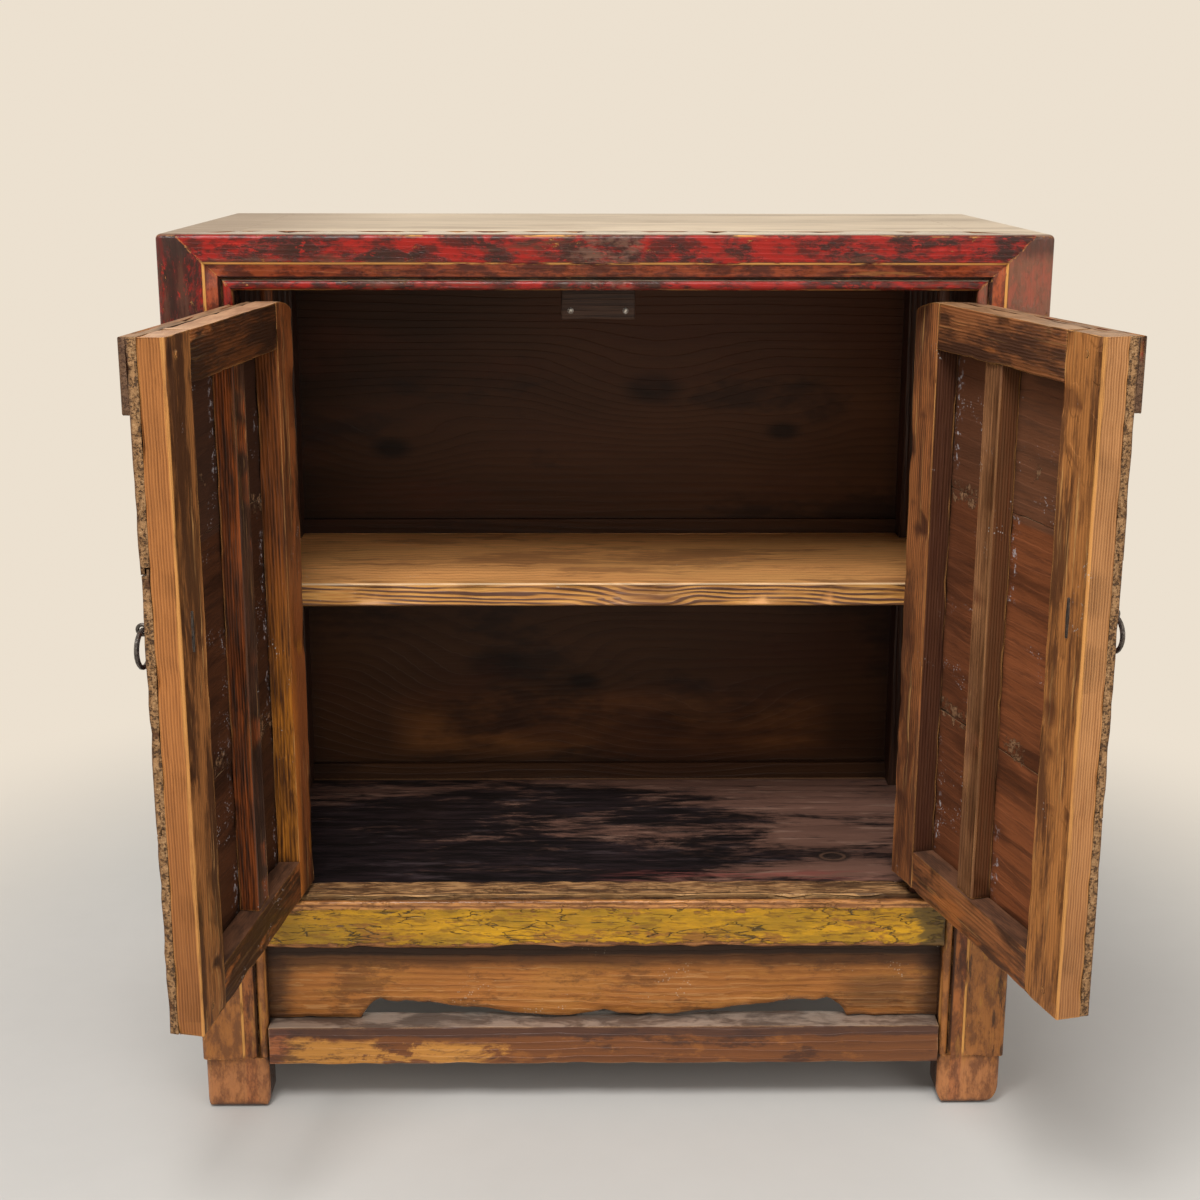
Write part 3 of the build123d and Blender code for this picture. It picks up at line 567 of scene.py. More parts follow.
def worn_board(name, grain, light, dark, dirt, amount=0.6, edge_tint=(0.5, 0.24, 0.08), edge=0.6,
               rough=0.5, coat=0.0, nook=0.7, **ring):
    """Waxed or lacquered timber of the sides, back and inside."""
    net = Net(name)
    net.lie(grain)
    wood, relief, _, fibre = bare(net, light, dark, **ring)
    mask = net.patch(5, 22, 0.46, 0.64, 3.0, 6.0, 0.68)
    wood = net.lay(wood, dirt, mask, amount)
    rub = net.field((12, 60, 60), 2.9, 4.0, 0.6)
    wood = net.lay(wood, edge_tint, net.arris(0.004) * net.ease(rub, 0.4, 0.6), edge)
    # the lacquer stops at the outside of the case
    within = net.fall(net.calc("ABSOLUTE", net.split(net.here)[0]), *OUTSIDE)
    smoked = net.grade(fibre, 0.35, 0.65, (0.06, 0.026, 0.013), (0.028, 0.013, 0.008))
    wood = net.mix(within * 0.96, wood, smoked)
    # grime and painted shade in the corners
    wood = net.lay(wood, (0.02, 0.013, 0.009), net.nook(0.02), nook)
    height = relief + mask * 0.3 + rub * 0.4
    return net.finish(wood, rough + fibre * 0.15, height, 0.0007, coat=coat)


def dark_back(name):
    """Smoked boards behind the shelf, with painted light: a pool low in the middle of the lower
    back, and the upper back lighter to the right.
    """
    net = Net(name)
    x, y, z = net.split(net.here)
    net.lie("x")
    knots = ((-0.2, 0.3, 0.02), (-0.12, 0.36, 0.022), (0.17, 0.3, 0.014), (0.085, 0.285, 0.02),
             (-0.02, 0.34, 0.012), (0.06, 0.69, 0.02), (0.21, 0.64, 0.012), (-0.24, 0.62, 0.014))
    wood, relief, *_ = bare(net, (0.078, 0.031, 0.0115), (0.048, 0.019, 0.0083), 0.35, 0.6, 1.2,
                            spacing=0.009, wave=0.06, knots=knots)
    # painted light and shade: the upper back is darker to the left and lighter to the right
    lit = net.ease(z, 0.5, 0.53) * (x * 1.4 - 0.05)
    wood = net.shade(wood, 1.0 + lit)
    # painted light: a mottled pool of light low in the middle of the lower back
    painted_light_pool = net.within(z, 0.252, 0.322, 0.012) * net.within(x, -0.23, 0.26, 0.03)
    wood = net.coats(wood, [
        ((0.36, 0.13, 0.034), painted_light_pool, net.calc("MULTIPLY", net.patch(3, 14, 0.36, 0.6, 6.0), 0.6)),
        ((0.075, 0.024, 0.01), net.patch(3, 9, 0.45, 0.65, 2.0), 0.6),  # warm patches
        ((0.016, 0.009, 0.007), net.patch(4, 10, 0.52, 0.64, 9.0), 0.6),  # dusky patches
        # grime and painted shade deep in the corners
        ((0.008, 0.005, 0.004), net.nook(0.05, 0.2, 0.7), 0.7),
    ])
    outer = net.ease(y, *BACK_OUTSIDE)
    rough_side = bare(net, (0.2, 0.12, 0.07), (0.1, 0.055, 0.032), 0.4, spacing=0.008, wave=0.05,
                      knots=knots)[0]
    grime = net.patch(5, 20, 0.48, 0.64, 4.0, 6.0)
    rough_side = net.lay(rough_side, (0.06, 0.038, 0.025), grime, 0.6)
    wood = net.mix(outer, wood, rough_side)
    return net.finish(wood, 0.5, relief, 0.0006, gloss=0.2)


def shelf_board(name):
    """Golden board, with bold year rings on its front edge."""
    net = Net(name)
    x, y, z = net.split(net.here)
    net.lie("x")
    wood, relief, _, fibre = bare(net, (0.82, 0.38, 0.125), (0.55, 0.23, 0.072), 0.5, 1.4, 1.1,
                                  spacing=0.011, wave=0.05, heart=(0.25, -0.45), taper=0.02)
    wood = net.coats(wood, [
        ((0.76, 0.37, 0.12), net.patch(3, 12, 0.48, 0.6, 2.0, 6.0, 0.7), 0.7),
        ((0.28, 0.115, 0.045), net.patch(5, 24, 0.5, 0.6, 5.0, 7.0, 0.72), 0.6),
    ])
    # front edge
    drift = net.noise(net.join(x * 3.2, 0.4, z * 14), 3.0, 0.5)
    swell = net.noise(net.join(x * 9.0, 5.0, z * 90), 2.0, 0.5)
    knotty = net.fall(net.calc("ABSOLUTE", x - 0.045), 0.012, 0.06)
    u = z * 210.0 + x * 9.0 + drift * 7.0 + swell * 1.6 + knotty * 1.4
    f = net.calc("FRACT", u)
    lines = net.ease(f, 0.32, 0.6) * net.fall(f, 0.86, 1.0)
    lines = lines * net.ease(swell, 0.3, 0.5)
    gold = net.grade(fibre, 0.35, 0.65, (0.7, 0.34, 0.085), (0.5, 0.21, 0.05))
    edge = net.lay(gold, (0.085, 0.036, 0.028), lines, 0.93)
    edge = net.coats(edge, [
        ((0.24, 0.1, 0.04), knotty, 0.5),
        # painted highlight along the top arris of the front edge
        ((0.95, 0.68, 0.4), net.ease(z, 0.519, 0.5208), 0.6),
        # painted shade along the lower arris of the front edge
        ((0.2, 0.08, 0.03), net.fall(z, 0.4985, 0.501), 0.4),
    ])
    front = net.fall(y, *SHELF_FRONT)
    colour = net.mix(front, wood, edge)
    colour = net.coats(colour, [
        ((0.7, 0.55, 0.4), spots(net, 6.0, 260.0, 0.56, 0.64), 0.7),
        ((0.08, 0.04, 0.022), net.fall(net.split(net.facing)[2], -0.9, -0.5), 0.85),  # painted shade on the underside
        # grime and painted shade in the corners
        ((0.03, 0.016, 0.01), net.nook(0.03, 0.3, 0.9), 0.6),
    ])
    height = relief + lines * front * 0.8
    return net.finish(colour, 0.38 + fibre * 0.15, height, 0.0006, coat=0.05)


def black_floor(name):
    """Dark lacquer of the case's floor, worn to mauve-brown at the right and at the back."""
    net = Net(name)
    x, y, _ = net.split(net.here)
    net.lie("x")
    wood, relief, *_ = bare(net, (0.2, 0.1, 0.07), (0.085, 0.042, 0.031), 0.4, 1.5, 1.2,
                            spacing=0.012, wave=0.05)
    big = net.field((4.2, 13, 13), 1.1, 9.0, 0.74, 0.3)
    streak = net.field((14, 130, 130), 3.1, 6.0, 0.72)
    wear = (big + net.ease(x, -0.2, 0.3) * 0.15 + net.ease(y, 0.02, 0.17) * 0.08
            + net.sway(streak, 0.3))
    open_wood = net.ease(wear, 0.55, 0.68)
    wood = net.lay(wood, (0.36, 0.21, 0.15), net.patch(12, 110, 0.54, 0.62, 4.0, 6.0, 0.7), 0.55)
    lacquer = net.grade(streak, 0.42, 0.66, (0.009, 0.008, 0.0085), (0.03, 0.02, 0.022))
    haze = net.patch(9, 46, 0.55, 0.7, 6.0, 7.0, 0.75)
    lacquer = net.lay(lacquer, (0.12, 0.085, 0.09), haze, 0.5)
    colour = net.mix(open_wood, lacquer, wood)
    stain = net.patch(8, 60, 0.58, 0.64, 9.0, 6.0, 0.72)
    colour = net.lay(colour, (0.018, 0.013, 0.013), stain, 0.75)
    red = (net.within(y, -0.13, -0.105, 0.008) * net.within(x, 0.02, 0.27, 0.05)
           * net.ease(streak, 0.45, 0.6))
    colour = net.lay(colour, (0.3, 0.075, 0.06), red, 0.6)
    # the knot and the ring round it
    d = net.calc("SQRT", net.calc("POWER", (x - KNOT[0]) * 0.8, 2.0)
                 + net.calc("POWER", y - KNOT[1], 2.0))
    colour = net.coats(colour, [
        ((0.02, 0.014, 0.012), net.fall(d, 0.012, 0.019), 0.8),
        ((0.13, 0.07, 0.045), net.within(d, 0.0085, 0.0115, 0.001), 0.8),
        ((0.35, 0.17, 0.07), net.ease(y, 0.1715, 0.175), 0.7),
        # grime and painted shade in the corners
        ((0.012, 0.008, 0.006), net.nook(0.03, 0.3, 0.9), 0.4),
    ])
    height = relief + open_wood * -0.7
    return net.finish(colour, 0.3 + open_wood * 0.2, height, 0.0006, coat=0.1)


# ------------------------------------------------------------------ materials of the doors
def door_frame(name, side, piece):
    """Stiles, rails and muntins: a rubbed free edge and dark waxed inner faces."""
    net = Net(name)
    s, t, z = leaf_place(net, side)
    net.axes = (s, z, t) if piece == "rail" else (z, s, t)
    left = side == "left"
    if left:
        fresh = ((0.44, 0.165, 0.045), (0.2, 0.066, 0.018))
    else:
        fresh = ((0.52, 0.235, 0.085), (0.27, 0.1, 0.03))
    wood, relief, _, fibre = bare(net, *fresh, 0.55, 1.7, 0.8, spacing=0.0024, heart=(-0.36, 0.3),
                                  taper=0.003, wave=0.01)
    if piece != "rail":
        wood = net.lay(wood, (0.2, 0.07, 0.02), net.fall(z, 0.25, 0.5), 0.4)
    # (light, dark, share of dark, golden flecks) of the inner face, and the colour of the walls
    faces = {
        ("left", "meeting"): ((0.42, 0.165, 0.05), (0.06, 0.024, 0.012), 0.49, 0.9,
                              (0.03, 0.013, 0.008)),
        ("left", "hinge"): ((0.3, 0.09, 0.026), (0.075, 0.027, 0.012), 0.51, 0.45,
                            (0.46, 0.12, 0.022)),
        ("left", "muntin"): ((0.085, 0.036, 0.02), (0.035, 0.018, 0.012), 0.5, 0.25,
                             (0.38, 0.09, 0.018)),
        ("left", "rail"): ((0.18, 0.058, 0.018), (0.034, 0.016, 0.009), 0.44, 0.12,
                           (0.03, 0.013, 0.008)),
        ("right", "meeting"): ((0.48, 0.19, 0.055), (0.1, 0.038, 0.017), 0.52, 0.8,
                               (0.17, 0.056, 0.02)),
        ("right", "hinge"): ((0.35, 0.125, 0.042), (0.1, 0.037, 0.018), 0.51, 0.45,
                             (0.075, 0.026, 0.014)),
        ("right", "muntin"): ((0.28, 0.125, 0.052), (0.14, 0.058, 0.024), 0.5, 0.2,
                              (0.15, 0.052, 0.02)),
        ("right", "rail"): ((0.32, 0.115, 0.042), (0.06, 0.027, 0.017), 0.47, 0.25,
                            (0.05, 0.022, 0.013)),
    }
    light, dark, middle, golden, wall = faces[side, piece]
    face = bare(net, light, tuple(v * 0.6 for v in light), 0.8, 1.2, 0.8, spacing=0.0042,
                heart=(0.3, 0.03), taper=0.012, wave=0.02)[0]
    face = net.coats(face, [
        (dark, net.patch(5, 30, middle - 0.06, middle + 0.07, 1.0, 7.0, 0.74, 0.2), 0.9),  # wax
        (dark, net.patch(10, 60, 0.52, 0.62, 3.0, 7.0, 0.74), 0.5),
    ])
    fleck = net.patch(7, 240, 0.58, 0.66, 5.0, 3.0, 0.6) * net.patch(5, 26, 0.42, 0.58, 8.0)
    face = net.lay(face, (0.66, 0.35, 0.12), fleck, golden)
    if piece == "rail":
        rubbed = net.patch(8, 30, 0.56, 0.64, 12.0, 5.0, 0.6)
        face = net.lay(face, (0.4, 0.13, 0.035), rubbed, 0.75)
    if (side, piece) == ("left", "hinge"):
        low = net.fall(z, 0.38, 0.62)
        wall = net.mix(low, (0.3, 0.085, 0.02), (0.62, 0.22, 0.026))
        face = net.lay(face, (0.62, 0.19, 0.03), low * net.ease(s, 0.03, 0.05), 0.7)
    walls = net.grade(fibre, 0.3, 0.7, wall, dark)
    walls = net.lay(walls, dark, net.patch(5, 30, 0.5, 0.64, 6.0), 0.6)
    level = MUNTIN_FACE if piece == "muntin" else FRAME_FACE
    colour = net.grade(t, level, level + 0.001, walls, face)
    if piece in ("meeting", "rail"):
        free_edge = net.grade(t, 0.0298, 0.0306, wood, colour)
        colour = net.grade(s, LEAF - 0.0075, LEAF - 0.0045, colour, free_edge)
    if piece == "meeting":
        wander = net.sway(net.field((9, 20, 20), 2.0, 3.0), 0.005)
        crest = net.ease(s, LEAF - 0.0036, LEAF - 0.002) * net.ease(t + wander, 0.0278, 0.0292)
        crest = crest * net.patch(9, 60, 0.36, 0.52, 4.0)
        colour = net.lay(colour, (0.66, 0.3, 0.08), crest, 0.75)
    rub = net.field((9, 60, 60), 5.7, 5.0, 0.66)
    colour = net.coats(colour, [
        ((0.6, 0.28, 0.08), net.arris(0.0028) * net.ease(rub, 0.4, 0.54), 0.75),  # rubbed arrises
        ((0.022, 0.011, 0.007), net.nook(0.012, 0.2, 0.85), 0.75),  # grime and painted shade in the corners
        ((0.55, 0.5, 0.46), spots(net, 4.0, 330.0, 0.6, 0.66), 0.8),
    ])
    fine = net.field((20, 90, 90), 1.0, 5.0, 0.66)
    if left:
        dusty = net.grade(fine, 0.38, 0.62, (0.58, 0.335, 0.19), (0.41, 0.22, 0.125))
    else:
        dusty = net.grade(fine, 0.38, 0.62, (0.4, 0.225, 0.115), (0.24, 0.125, 0.06))
    grimy = net.grade(fine, 0.38, 0.62, (0.19, 0.085, 0.045), (0.085, 0.042, 0.026))
    up = net.upward(0.6, 0.95)
    colour = net.lay(colour, net.grade(z, 0.78, 0.8, grimy, dusty), up, 0.9)
    height = (relief + rub * 0.6 + fleck * 0.4) * (1.0 - up * 0.7)
    return net.finish(colour, 0.36 + fibre * 0.2, height, 0.001, coat=0.04, gloss=0.2)


def door_boards(name, side):
    """Boards: red-brown inside, worn lacquer outside, rough end grain."""
    net = Net(name)
    s, t, z = leaf_place(net, side)
    net.axes = (s, z, t)
    # painted shade on the left leaf's boards: one wood, painted darker on the left leaf than on the
    # right
    if side == "left":
        light, dark, upper = (0.085, 0.03, 0.013), (0.03, 0.013, 0.008), (0.05, 0.026, 0.018)
    else:
        light, dark, upper = (0.24, 0.075, 0.028), (0.095, 0.034, 0.017), (0.11, 0.055, 0.032)
    inside, relief, *_ = bare(net, light, dark, 0.2, 1.9, 0.9, spacing=0.021, heart=(0.12, 0.03),
                              wave=0.06)
    inside = net.lay(inside, dark, net.patch(6, 90, 0.5, 0.6, 3.0, 7.0, 0.75), 0.6)
    bands = net.noise(net.join(s * 2.5, z * 19.0, 3.0), 4.0, 0.6)
    inside = net.coats(inside, [
        (tuple(v * 0.5 for v in dark), net.ease(bands, 0.5, 0.58), 0.6),
        (upper, net.ease(z, *(LOW[side] + v for v in UPPER_JOINT)), 0.6),  # the upper board
        (dark, net.fall(s, 0.07, 0.15), 0.55),  # shade at the hinge
    ])
    # crumbs of lining paper along the joints
    rag = net.field((80, 80, 80), 2.0, 8.0, 0.8)
    paper = None
    for up, middle, half in ((0.396, 0.07, 0.035), (0.18, 0.072, 0.036), (0.185, 0.2, 0.025),
                             (0.44, 0.205, 0.014)):
        joint = LOW[side] + up
        reach = (net.within(s, middle - half, middle + half, 0.01)
                 * net.within(z, joint - 0.004, joint + 0.022, 0.008))
        bit = net.ease(reach * 0.2 + rag, 0.7, 0.74)
        paper = bit if paper is None else net.most(paper, bit)
    inside = net.coats(inside, [
        ((0.3, 0.165, 0.085), paper, 0.8),
        ((0.5, 0.46, 0.46), spots(net, 3.0, 330.0, 0.54, 0.6), 0.8),
    ])
    # dots of whitewash in upright rows
    for root in (0.058, 0.138, 0.178):
        beside = (net.within(s, root - 0.005, root + 0.005, 0.004)
                  * net.patch(0.0, 9, 0.5, 0.56, root * 90, 2.0))
        dots = beside * net.patch(210, 170, 0.56, 0.62, root * 50, 3.0)
        inside = net.lay(inside, (0.5, 0.46, 0.47), dots, 0.75)
    # outer face
    fine = net.field((30, 110, 110), 2.0, 5.0, 0.68)
    red = net.grade(fine, 0.36, 0.62, (0.27, 0.019, 0.012), (0.085, 0.02, 0.013))
    blots = net.patch(6, 24, 0.47, 0.6, 1.0, 7.0, 0.7, 0.5)
    outside = net.lay(red, (0.036, 0.019, 0.014), blots, 0.88)
    outside = net.coats(outside, [
        ((0.15, 0.062, 0.035), net.patch(4, 28, 0.54, 0.68, 6.0, 6.0, 0.7), 0.7),
        ((0.5, 0.22, 0.07), net.ease(fine + net.arris(0.005) * 0.3, 0.68, 0.74)),  # chips
    ])
    colour = net.mix(net.fall(t, *BOARD_SKIN), inside, outside)
    # end grain at the free edge
    end = net.ease(s, LEAF - 0.0016, LEAF - 0.0008)
    coarse = net.noise(net.join(0.5, z * 120, t * 260), 6.0, 0.75, 0.6)
    pores = net.noise(net.join(2.5, z * 500, t * 420), 3.0, 0.6)
    rough_end = net.grade(coarse, 0.4, 0.58, (0.38, 0.205, 0.09), (0.19, 0.095, 0.038))
    rough_end = net.lay(rough_end, (0.52, 0.32, 0.155), net.ease(pores, 0.56, 0.66), 0.6)
    pit = net.fall(net.jag(pores, coarse, -0.5), 0.38, 0.46)
    rough_end = net.coats(rough_end, [
        ((0.06, 0.034, 0.02), pit, 0.85),
        ((0.1, 0.052, 0.033), net.fall(t, -0.0004, 0.0026), 0.8),
    ])
    colour = net.mix(end, colour, rough_end)
    # grime and painted shade in the corners
    colour = net.lay(colour, (0.015, 0.009, 0.006), net.nook(0.015, 0.2, 0.8), 0.6)
    dusty = net.grade(fine, 0.36, 0.64, (0.38, 0.225, 0.12), (0.18, 0.1, 0.055))
    colour = net.lay(colour, dusty, net.upward(0.6, 0.95), 0.8)
    height = relief + end * coarse * 1.2 + end * pit * -0.8 + fine * 0.4 + paper * 1.2
    return net.finish(colour, 0.48, height, 0.001, gloss=0.15)


def iron(name):
    """Dark forged iron with a little rust."""
    net = Net(name)
    mottle = net.noise(net.here, 5.0, 0.65, scale=260.0)
    colour = net.grade(mottle, 0.35, 0.65, (0.035, 0.03, 0.028), (0.15, 0.13, 0.115))
    rust = net.noise(net.here, 4.0, 0.6, scale=120.0)
    colour = net.coats(colour, [
        ((0.12, 0.045, 0.02), net.ease(rust, 0.55, 0.7), 0.6),
        ((0.5, 0.47, 0.43), net.arris(0.001), 0.5),
    ])
    return net.finish(colour, 0.32 + mottle * 0.25, mottle, 0.0004, metal=0.75, gloss=0.5)


def nail_iron(name):
    """Domed nails, rubbed bright."""
    net = Net(name)
    mottle = net.noise(net.here, 4.0, 0.6, scale=400.0)
    colour = net.grade(mottle, 0.4, 0.65, (0.6, 0.56, 0.5), (0.2, 0.16, 0.13))
    return net.finish(colour, 0.25 + mottle * 0.3, mottle, 0.0003, metal=0.6, gloss=0.5)


red_sides = dict(light=(0.24, 0.042, 0.023), dark=(0.1, 0.024, 0.015), dirt=(0.05, 0.02, 0.014),
                 rough=0.34, coat=0.12, contrast=0.3)
inner = dict(light=(0.13, 0.062, 0.03), dark=(0.06, 0.028, 0.016), dirt=(0.035, 0.018, 0.011),
             amount=0.6, edge=0.4, rough=0.5)
mats = {
    "rail": moulded("top_rail_lacquer", "x"),
    "post": moulded("post_lacquer", "z"),
    "top": top_wood("top_polish"),
    "sill": yellow_sill("sill_lacquer"),
    "apron": worn_apron("apron_wood"),
    "stretcher": worn_stretcher("stretcher_wood", "x"),
    "side_stretcher": worn_stretcher("side_stretcher_wood", "y"),
    "side_z": worn_board("side_post_lacquer", "z", amount=0.8, **red_sides),
    "side_panel": worn_board("side_panel_lacquer", "z", amount=0.7, spacing=0.01, wave=0.05,
                             **red_sides),
    "side_y": worn_board("side_rail_lacquer", "y", amount=0.8, **red_sides),
    "back": dark_back("back_boards"),
    "shelf": shelf_board("shelf_wood"),
    "floor": black_floor("floor_lacquer"),
    "stop": worn_board("stop_wood", "x", (0.09, 0.04, 0.018), (0.04, 0.018, 0.01),
                       (0.02, 0.011, 0.007)),
    "inner_y": worn_board("inner_wood_y", "y", **inner),
    "iron": iron("forged_iron"),
    "nail": nail_iron("nail_iron"),
}
for side in ("left", "right"):
    for piece in ("meeting", "hinge", "muntin", "rail"):
        mats[f"{side}_{piece}"] = door_frame(f"{side}_{piece}_wood", side, piece)
    mats[side + "_board"] = door_boards(side + "_board_wood", side)


def material_for(name):
    """The material of the piece that stands for a CAD node."""
    if "_door_" in name:
        side, piece = name.split("_door_")
        if piece in ("split_pin", "pull_ring"):
            return mats["iron"]
        if piece.endswith("board"):
            return mats[side + "_board"]
        kind = {"top_rail": "rail", "bottom_rail": "rail", "hinge_stile": "hinge",
                "muntin": "muntin"}
        return mats[f"{side}_{kind.get(piece, 'meeting')}"]
    plain = name.removeprefix("left_").removeprefix("right_")
    known = {
        "front_top_rail": "rail", "front_post": "post", "front_sill": "sill", "apron": "apron",
        "front_stretcher": "stretcher", "back_stretcher": "stretcher",
        "stretcher": "side_stretcher", "top_panel": "top", "top_rail": "top",
        "back_top_rail": "top", "back_post": "side_z", "side_panel": "side_panel",
        "bottom_rail": "side_y", "back_mid_rail": "back", "back_bottom_rail": "back",
        "upper_back_panel": "back", "lower_back_panel": "back", "shelf": "shelf",
        "bottom_panel": "floor", "door_stop_block": "stop", "door_stop_nails": "nail",
    }
    return mats[known.get(plain, "inner_y")]


# ------------------------------------------------------------------ worn pieces
STEP = 0.012                        # between the cuts across a worn piece
WAVE = 0.0003                       # slow wander of the arrises
DENT_PITCH, WAVE_PITCH = 38, 6      # of the noise, per metre
MERGE_DIST, CUT_DIST = 2e-6, 1e-6
FLAT_ANGLE = math.radians(0.5)
ARRIS_ANGLE = 0.6                   # radians between the faces of an arris
SMOOTH_ANGLE = math.radians(26)


def body_name(name):
    """The moving body, or the case, that a CAD node rides on."""
    if "_door_" not in name:
        return "case"
    side = name.split("_")[0]
    return side + ("_ring" if name.endswith("pull_ring") else "_door")


def joint_edge(e):
    """An edge of a hidden mitre or joint face, which stays sharp."""
    for f in e.link_faces:
        n = f.normal
        big = sum(abs(v) > 0.35 for v in n)
        if big > 1 and f.calc_area() > 2e-4:
            return True
    return False


def cut_across(mesh, step, seed):
    """Cut a mesh into cells of about a step, so that its arrises can be dented."""
    corners = [[f(v.co[i] for v in mesh.verts) for i in range(3)] for f in (min, max)]
    for i in range(3):
        length = corners[1][i] - corners[0][i]
        count = int(length / step)
        if count < 3:
            continue
        for k in range(1, count):
            shift = 0.25 * step * noise.noise(Vector((k * 1.7, i * 9.1, seed)))
            point = Vector((0, 0, 0))
            point[i] = corners[0][i] + length * k / count + shift
            normal = Vector((0, 0, 0))
            normal[i] = 1
            geom = mesh.verts[:] + mesh.edges[:] + mesh.faces[:]
            bmesh.ops.bisect_plane(mesh, geom=geom, dist=CUT_DIST, plane_co=point, plane_no=normal)


def worn_copy(name, bevel, dent, seed):
    """A copy of a piece with softened, dented arrises, which stands for its CAD node."""
    mesh = bmesh.new()
    mesh.from_mesh(nodes[name].data)
    side = name.split("_")[0]
    to_leaf = closing(side) if "_door_" in name else Matrix.Identity(4)
    mesh.transform(to_leaf)
    bmesh.ops.remove_doubles(mesh, verts=mesh.verts, dist=MERGE_DIST)
    bmesh.ops.dissolve_limit(mesh, angle_limit=FLAT_ANGLE, verts=mesh.verts, edges=mesh.edges)
    bmesh.ops.recalc_face_normals(mesh, faces=mesh.faces)
    mesh.normal_update()
    sharp = []
    for e in mesh.edges:
        if len(e.link_faces) != 2 or not e.is_convex or e.calc_face_angle() < ARRIS_ANGLE:
            continue
        if e.calc_length() < 3 * bevel or joint_edge(e):
            continue
        sharp.append(e)
    done = bmesh.ops.bevel(mesh, geom=sharp, offset=bevel, offset_type="OFFSET", segments=2,
                           profile=0.5, affect="EDGES", clamp_overlap=True)
    layer = mesh.verts.layers.float.new("arris")
    for f in done["faces"]:
        for v in f.verts:
            v[layer] = 1.0
    cut_across(mesh, STEP, seed)
    mesh.normal_update()
    lift = Vector((seed * 3.1, seed * 1.7, seed * 5.3))
    for v in mesh.verts:
        p = v.co * DENT_PITCH + lift
        bite = max(0.0, noise.fractal(p, 1.0, 2.0, 3) + 0.12) * v[layer]
        wave = noise.noise(v.co * WAVE_PITCH + lift)
        v.co -= v.normal * (bite * dent * 2.2 + wave * WAVE * v[layer])
    mesh.transform(to_leaf.inverted())
    data = bpy.data.meshes.new("worn_" + name)
    mesh.to_mesh(data)
    mesh.free()
    for p in data.polygons:
        p.use_smooth = True
    data.set_sharp_from_angle(angle=SMOOTH_ANGLE)
    piece = bpy.data.objects.new("worn_" + name, data)
    bpy.context.scene.collection.objects.link(piece)
    data.materials.append(material_for(name))
    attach(piece, body_name(name))
    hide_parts(name)
    return piece


rounds = {"left_front_post": 0.0012, "right_front_post": 0.0012, "front_top_rail": 0.001,
          "front_sill": 0.0009, "apron": 0.0012, "front_stretcher": 0.0018, "shelf": 0.0012,
          "left_stretcher": 0.0016, "right_stretcher": 0.0016, "back_stretcher": 0.0016,
          "door_stop_block": 0.0015}
for side in ("left", "right"):
    for piece in ("hinge_stile", "meeting_stile", "top_rail", "bottom_rail", "muntin"):
        rounds[f"{side}_door_{piece}"] = 0.0012
    for piece in ("lower_board", "middle_board", "upper_board", "band_board"):
        rounds[f"{side}_door_{piece}"] = 0.0008
for i, (name, bevel) in enumerate(sorted(rounds.items())):
    dent = 0.0014 if name in ("apron", "front_sill", "front_top_rail") else 0.0008
    worn_copy(name, bevel, dent, i * 0.73 + 0.4)

for name, node in nodes.items():
    material = material_for(name)
    if not node.data.materials:
        node.data.materials.append(material)
    for slot in node.material_slots:
        slot.material = material


# ------------------------------------------------------------------ stage, lights, camera
def seen(tree):
    """1 for rays that show the background: from the camera, or through gloss or glass."""
    paths = tree.nodes.new("ShaderNodeLightPath")
    out = paths.outputs["Is Camera Ray"]
    for other in ("Is Glossy Ray", "Is Transmission Ray"):
        both = tree.nodes.new("ShaderNodeMath")
        both.operation = "MAXIMUM"
        tree.links.new(out, both.inputs[0])
        tree.links.new(paths.outputs[other], both.inputs[1])
        out = both.outputs[0]
    return out


def studio_paper():
    """Pale grey round the cabinet, where its shadow falls, and cream further off."""
    net = Net("studio_paper")
    x, y, z = net.split(net.here)
    cloud = net.noise(net.here, 5.0, 0.6, scale=1.6)
    fine = net.noise(net.here, 4.0, 0.6, scale=24.0)
    tone = 0.92 + cloud * 0.12 + fine * 0.04
    net.finish(net.shade((0.62, 0.6, 0.565), tone), 0.7, None, gloss=0.2)
    near = net.tree.nodes["Principled BSDF"]
    r = net.calc("SQRT", x * x + y * y + z * z)
    far = net.ease(r, 0.62, 1.35) * Wire(net, seen(net.tree))
    glow = net.add("ShaderNodeEmission", {"Color": CREAM, "Strength": 1.0})
    both = net.add("ShaderNodeMixShader")
    net.put(both.inputs[0], far)
    net.tree.links.new(near.outputs[0], both.inputs[1])
    net.tree.links.new(glow.outputs[0], both.inputs[2])
    out = net.tree.nodes["Material Output"]
    net.tree.links.new(both.outputs[0], out.inputs[0])
    return net.mat


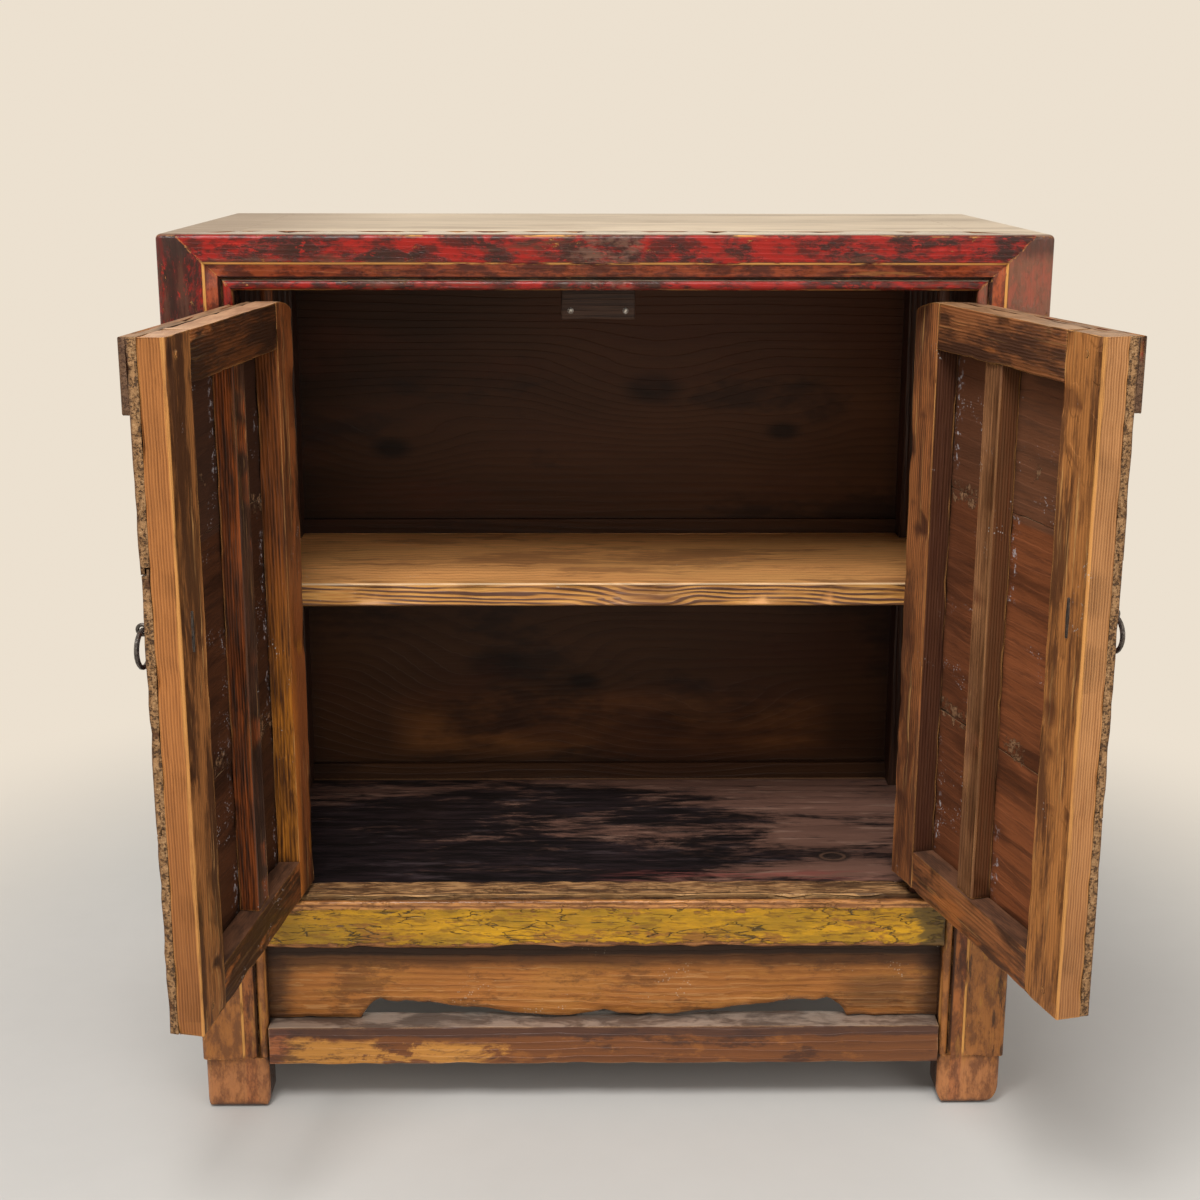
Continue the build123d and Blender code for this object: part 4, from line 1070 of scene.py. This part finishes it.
def cyclorama():
    """Floor that sweeps up into a plain wall, far behind the cabinet."""
    half, back, sweep, height, steps = 9.0, 2.4, 0.9, 6.0, 12
    profile = [(-half, 0.0), (back, 0.0)]
    for k in range(1, steps + 1):
        a = math.pi / 2 * k / steps
        profile.append((back + sweep * math.sin(a), sweep - sweep * math.cos(a)))
    profile.append((back + sweep, height))
    verts = [(x, y, z) for y, z in profile for x in (-half, half)]
    faces = [(2 * k, 2 * k + 1, 2 * k + 3, 2 * k + 2) for k in range(len(profile) - 1)]
    data = bpy.data.meshes.new("studio_floor")
    data.from_pydata(verts, [], faces)
    for p in data.polygons:
        p.use_smooth = True
    piece = bpy.data.objects.new("studio_floor", data)
    bpy.context.scene.collection.objects.link(piece)
    data.materials.append(studio_paper())


def area_light(name, place, target, size, power):
    data = bpy.data.lights.new(name, "AREA")
    data.shape = "RECTANGLE"
    data.size, data.size_y = size
    data.energy = power
    lamp = bpy.data.objects.new(name, data)
    bpy.context.scene.collection.objects.link(lamp)
    lamp.location = place
    lamp.rotation_euler = (Vector(target) - Vector(place)).to_track_quat("-Z", "Y").to_euler()


cyclorama()
area_light("key", (-0.5, -2.0, 3.1), (0, -0.1, 0.4), (1.5, 1.0), 88)
area_light("fill", (1.9, -2.7, 1.5), (0, 0, 0.5), (2.0, 1.6), 16)

world = bpy.data.worlds.new("studio")
bpy.context.scene.world = world
world.use_nodes = True
tree = world.node_tree
tree.nodes.clear()
soft = tree.nodes.new("ShaderNodeBackground")
soft.inputs[0].default_value = (1.0, 0.99, 0.97, 1)
soft.inputs[1].default_value = 0.55
pale = tree.nodes.new("ShaderNodeBackground")
pale.inputs[0].default_value = (*CREAM, 1)
pale.inputs[1].default_value = 1.0
either = tree.nodes.new("ShaderNodeMixShader")
tree.links.new(seen(tree), either.inputs[0])
tree.links.new(soft.outputs[0], either.inputs[1])
tree.links.new(pale.outputs[0], either.inputs[2])
last = tree.nodes.new("ShaderNodeOutputWorld")
tree.links.new(either.outputs[0], last.inputs[0])

# the place, the turn and the lens of the photo's camera, from the perspective fit
lens = bpy.data.cameras.new("camera")
lens.lens = 54.65
lens.sensor_width = 36
camera = bpy.data.objects.new("camera", lens)
bpy.context.scene.collection.objects.link(camera)
turn = Matrix.Identity(4)
for degrees, axis in ((-0.742, "Z"), (75.38, "X"), (0.110, "Z")):
    turn = turn @ Matrix.Rotation(math.radians(degrees), 4, axis)
camera.matrix_world = Matrix.Translation((-0.0271, -1.8884, 0.9804)) @ turn
bpy.context.scene.camera = camera
bpy.context.scene.view_settings.view_transform = "Standard"
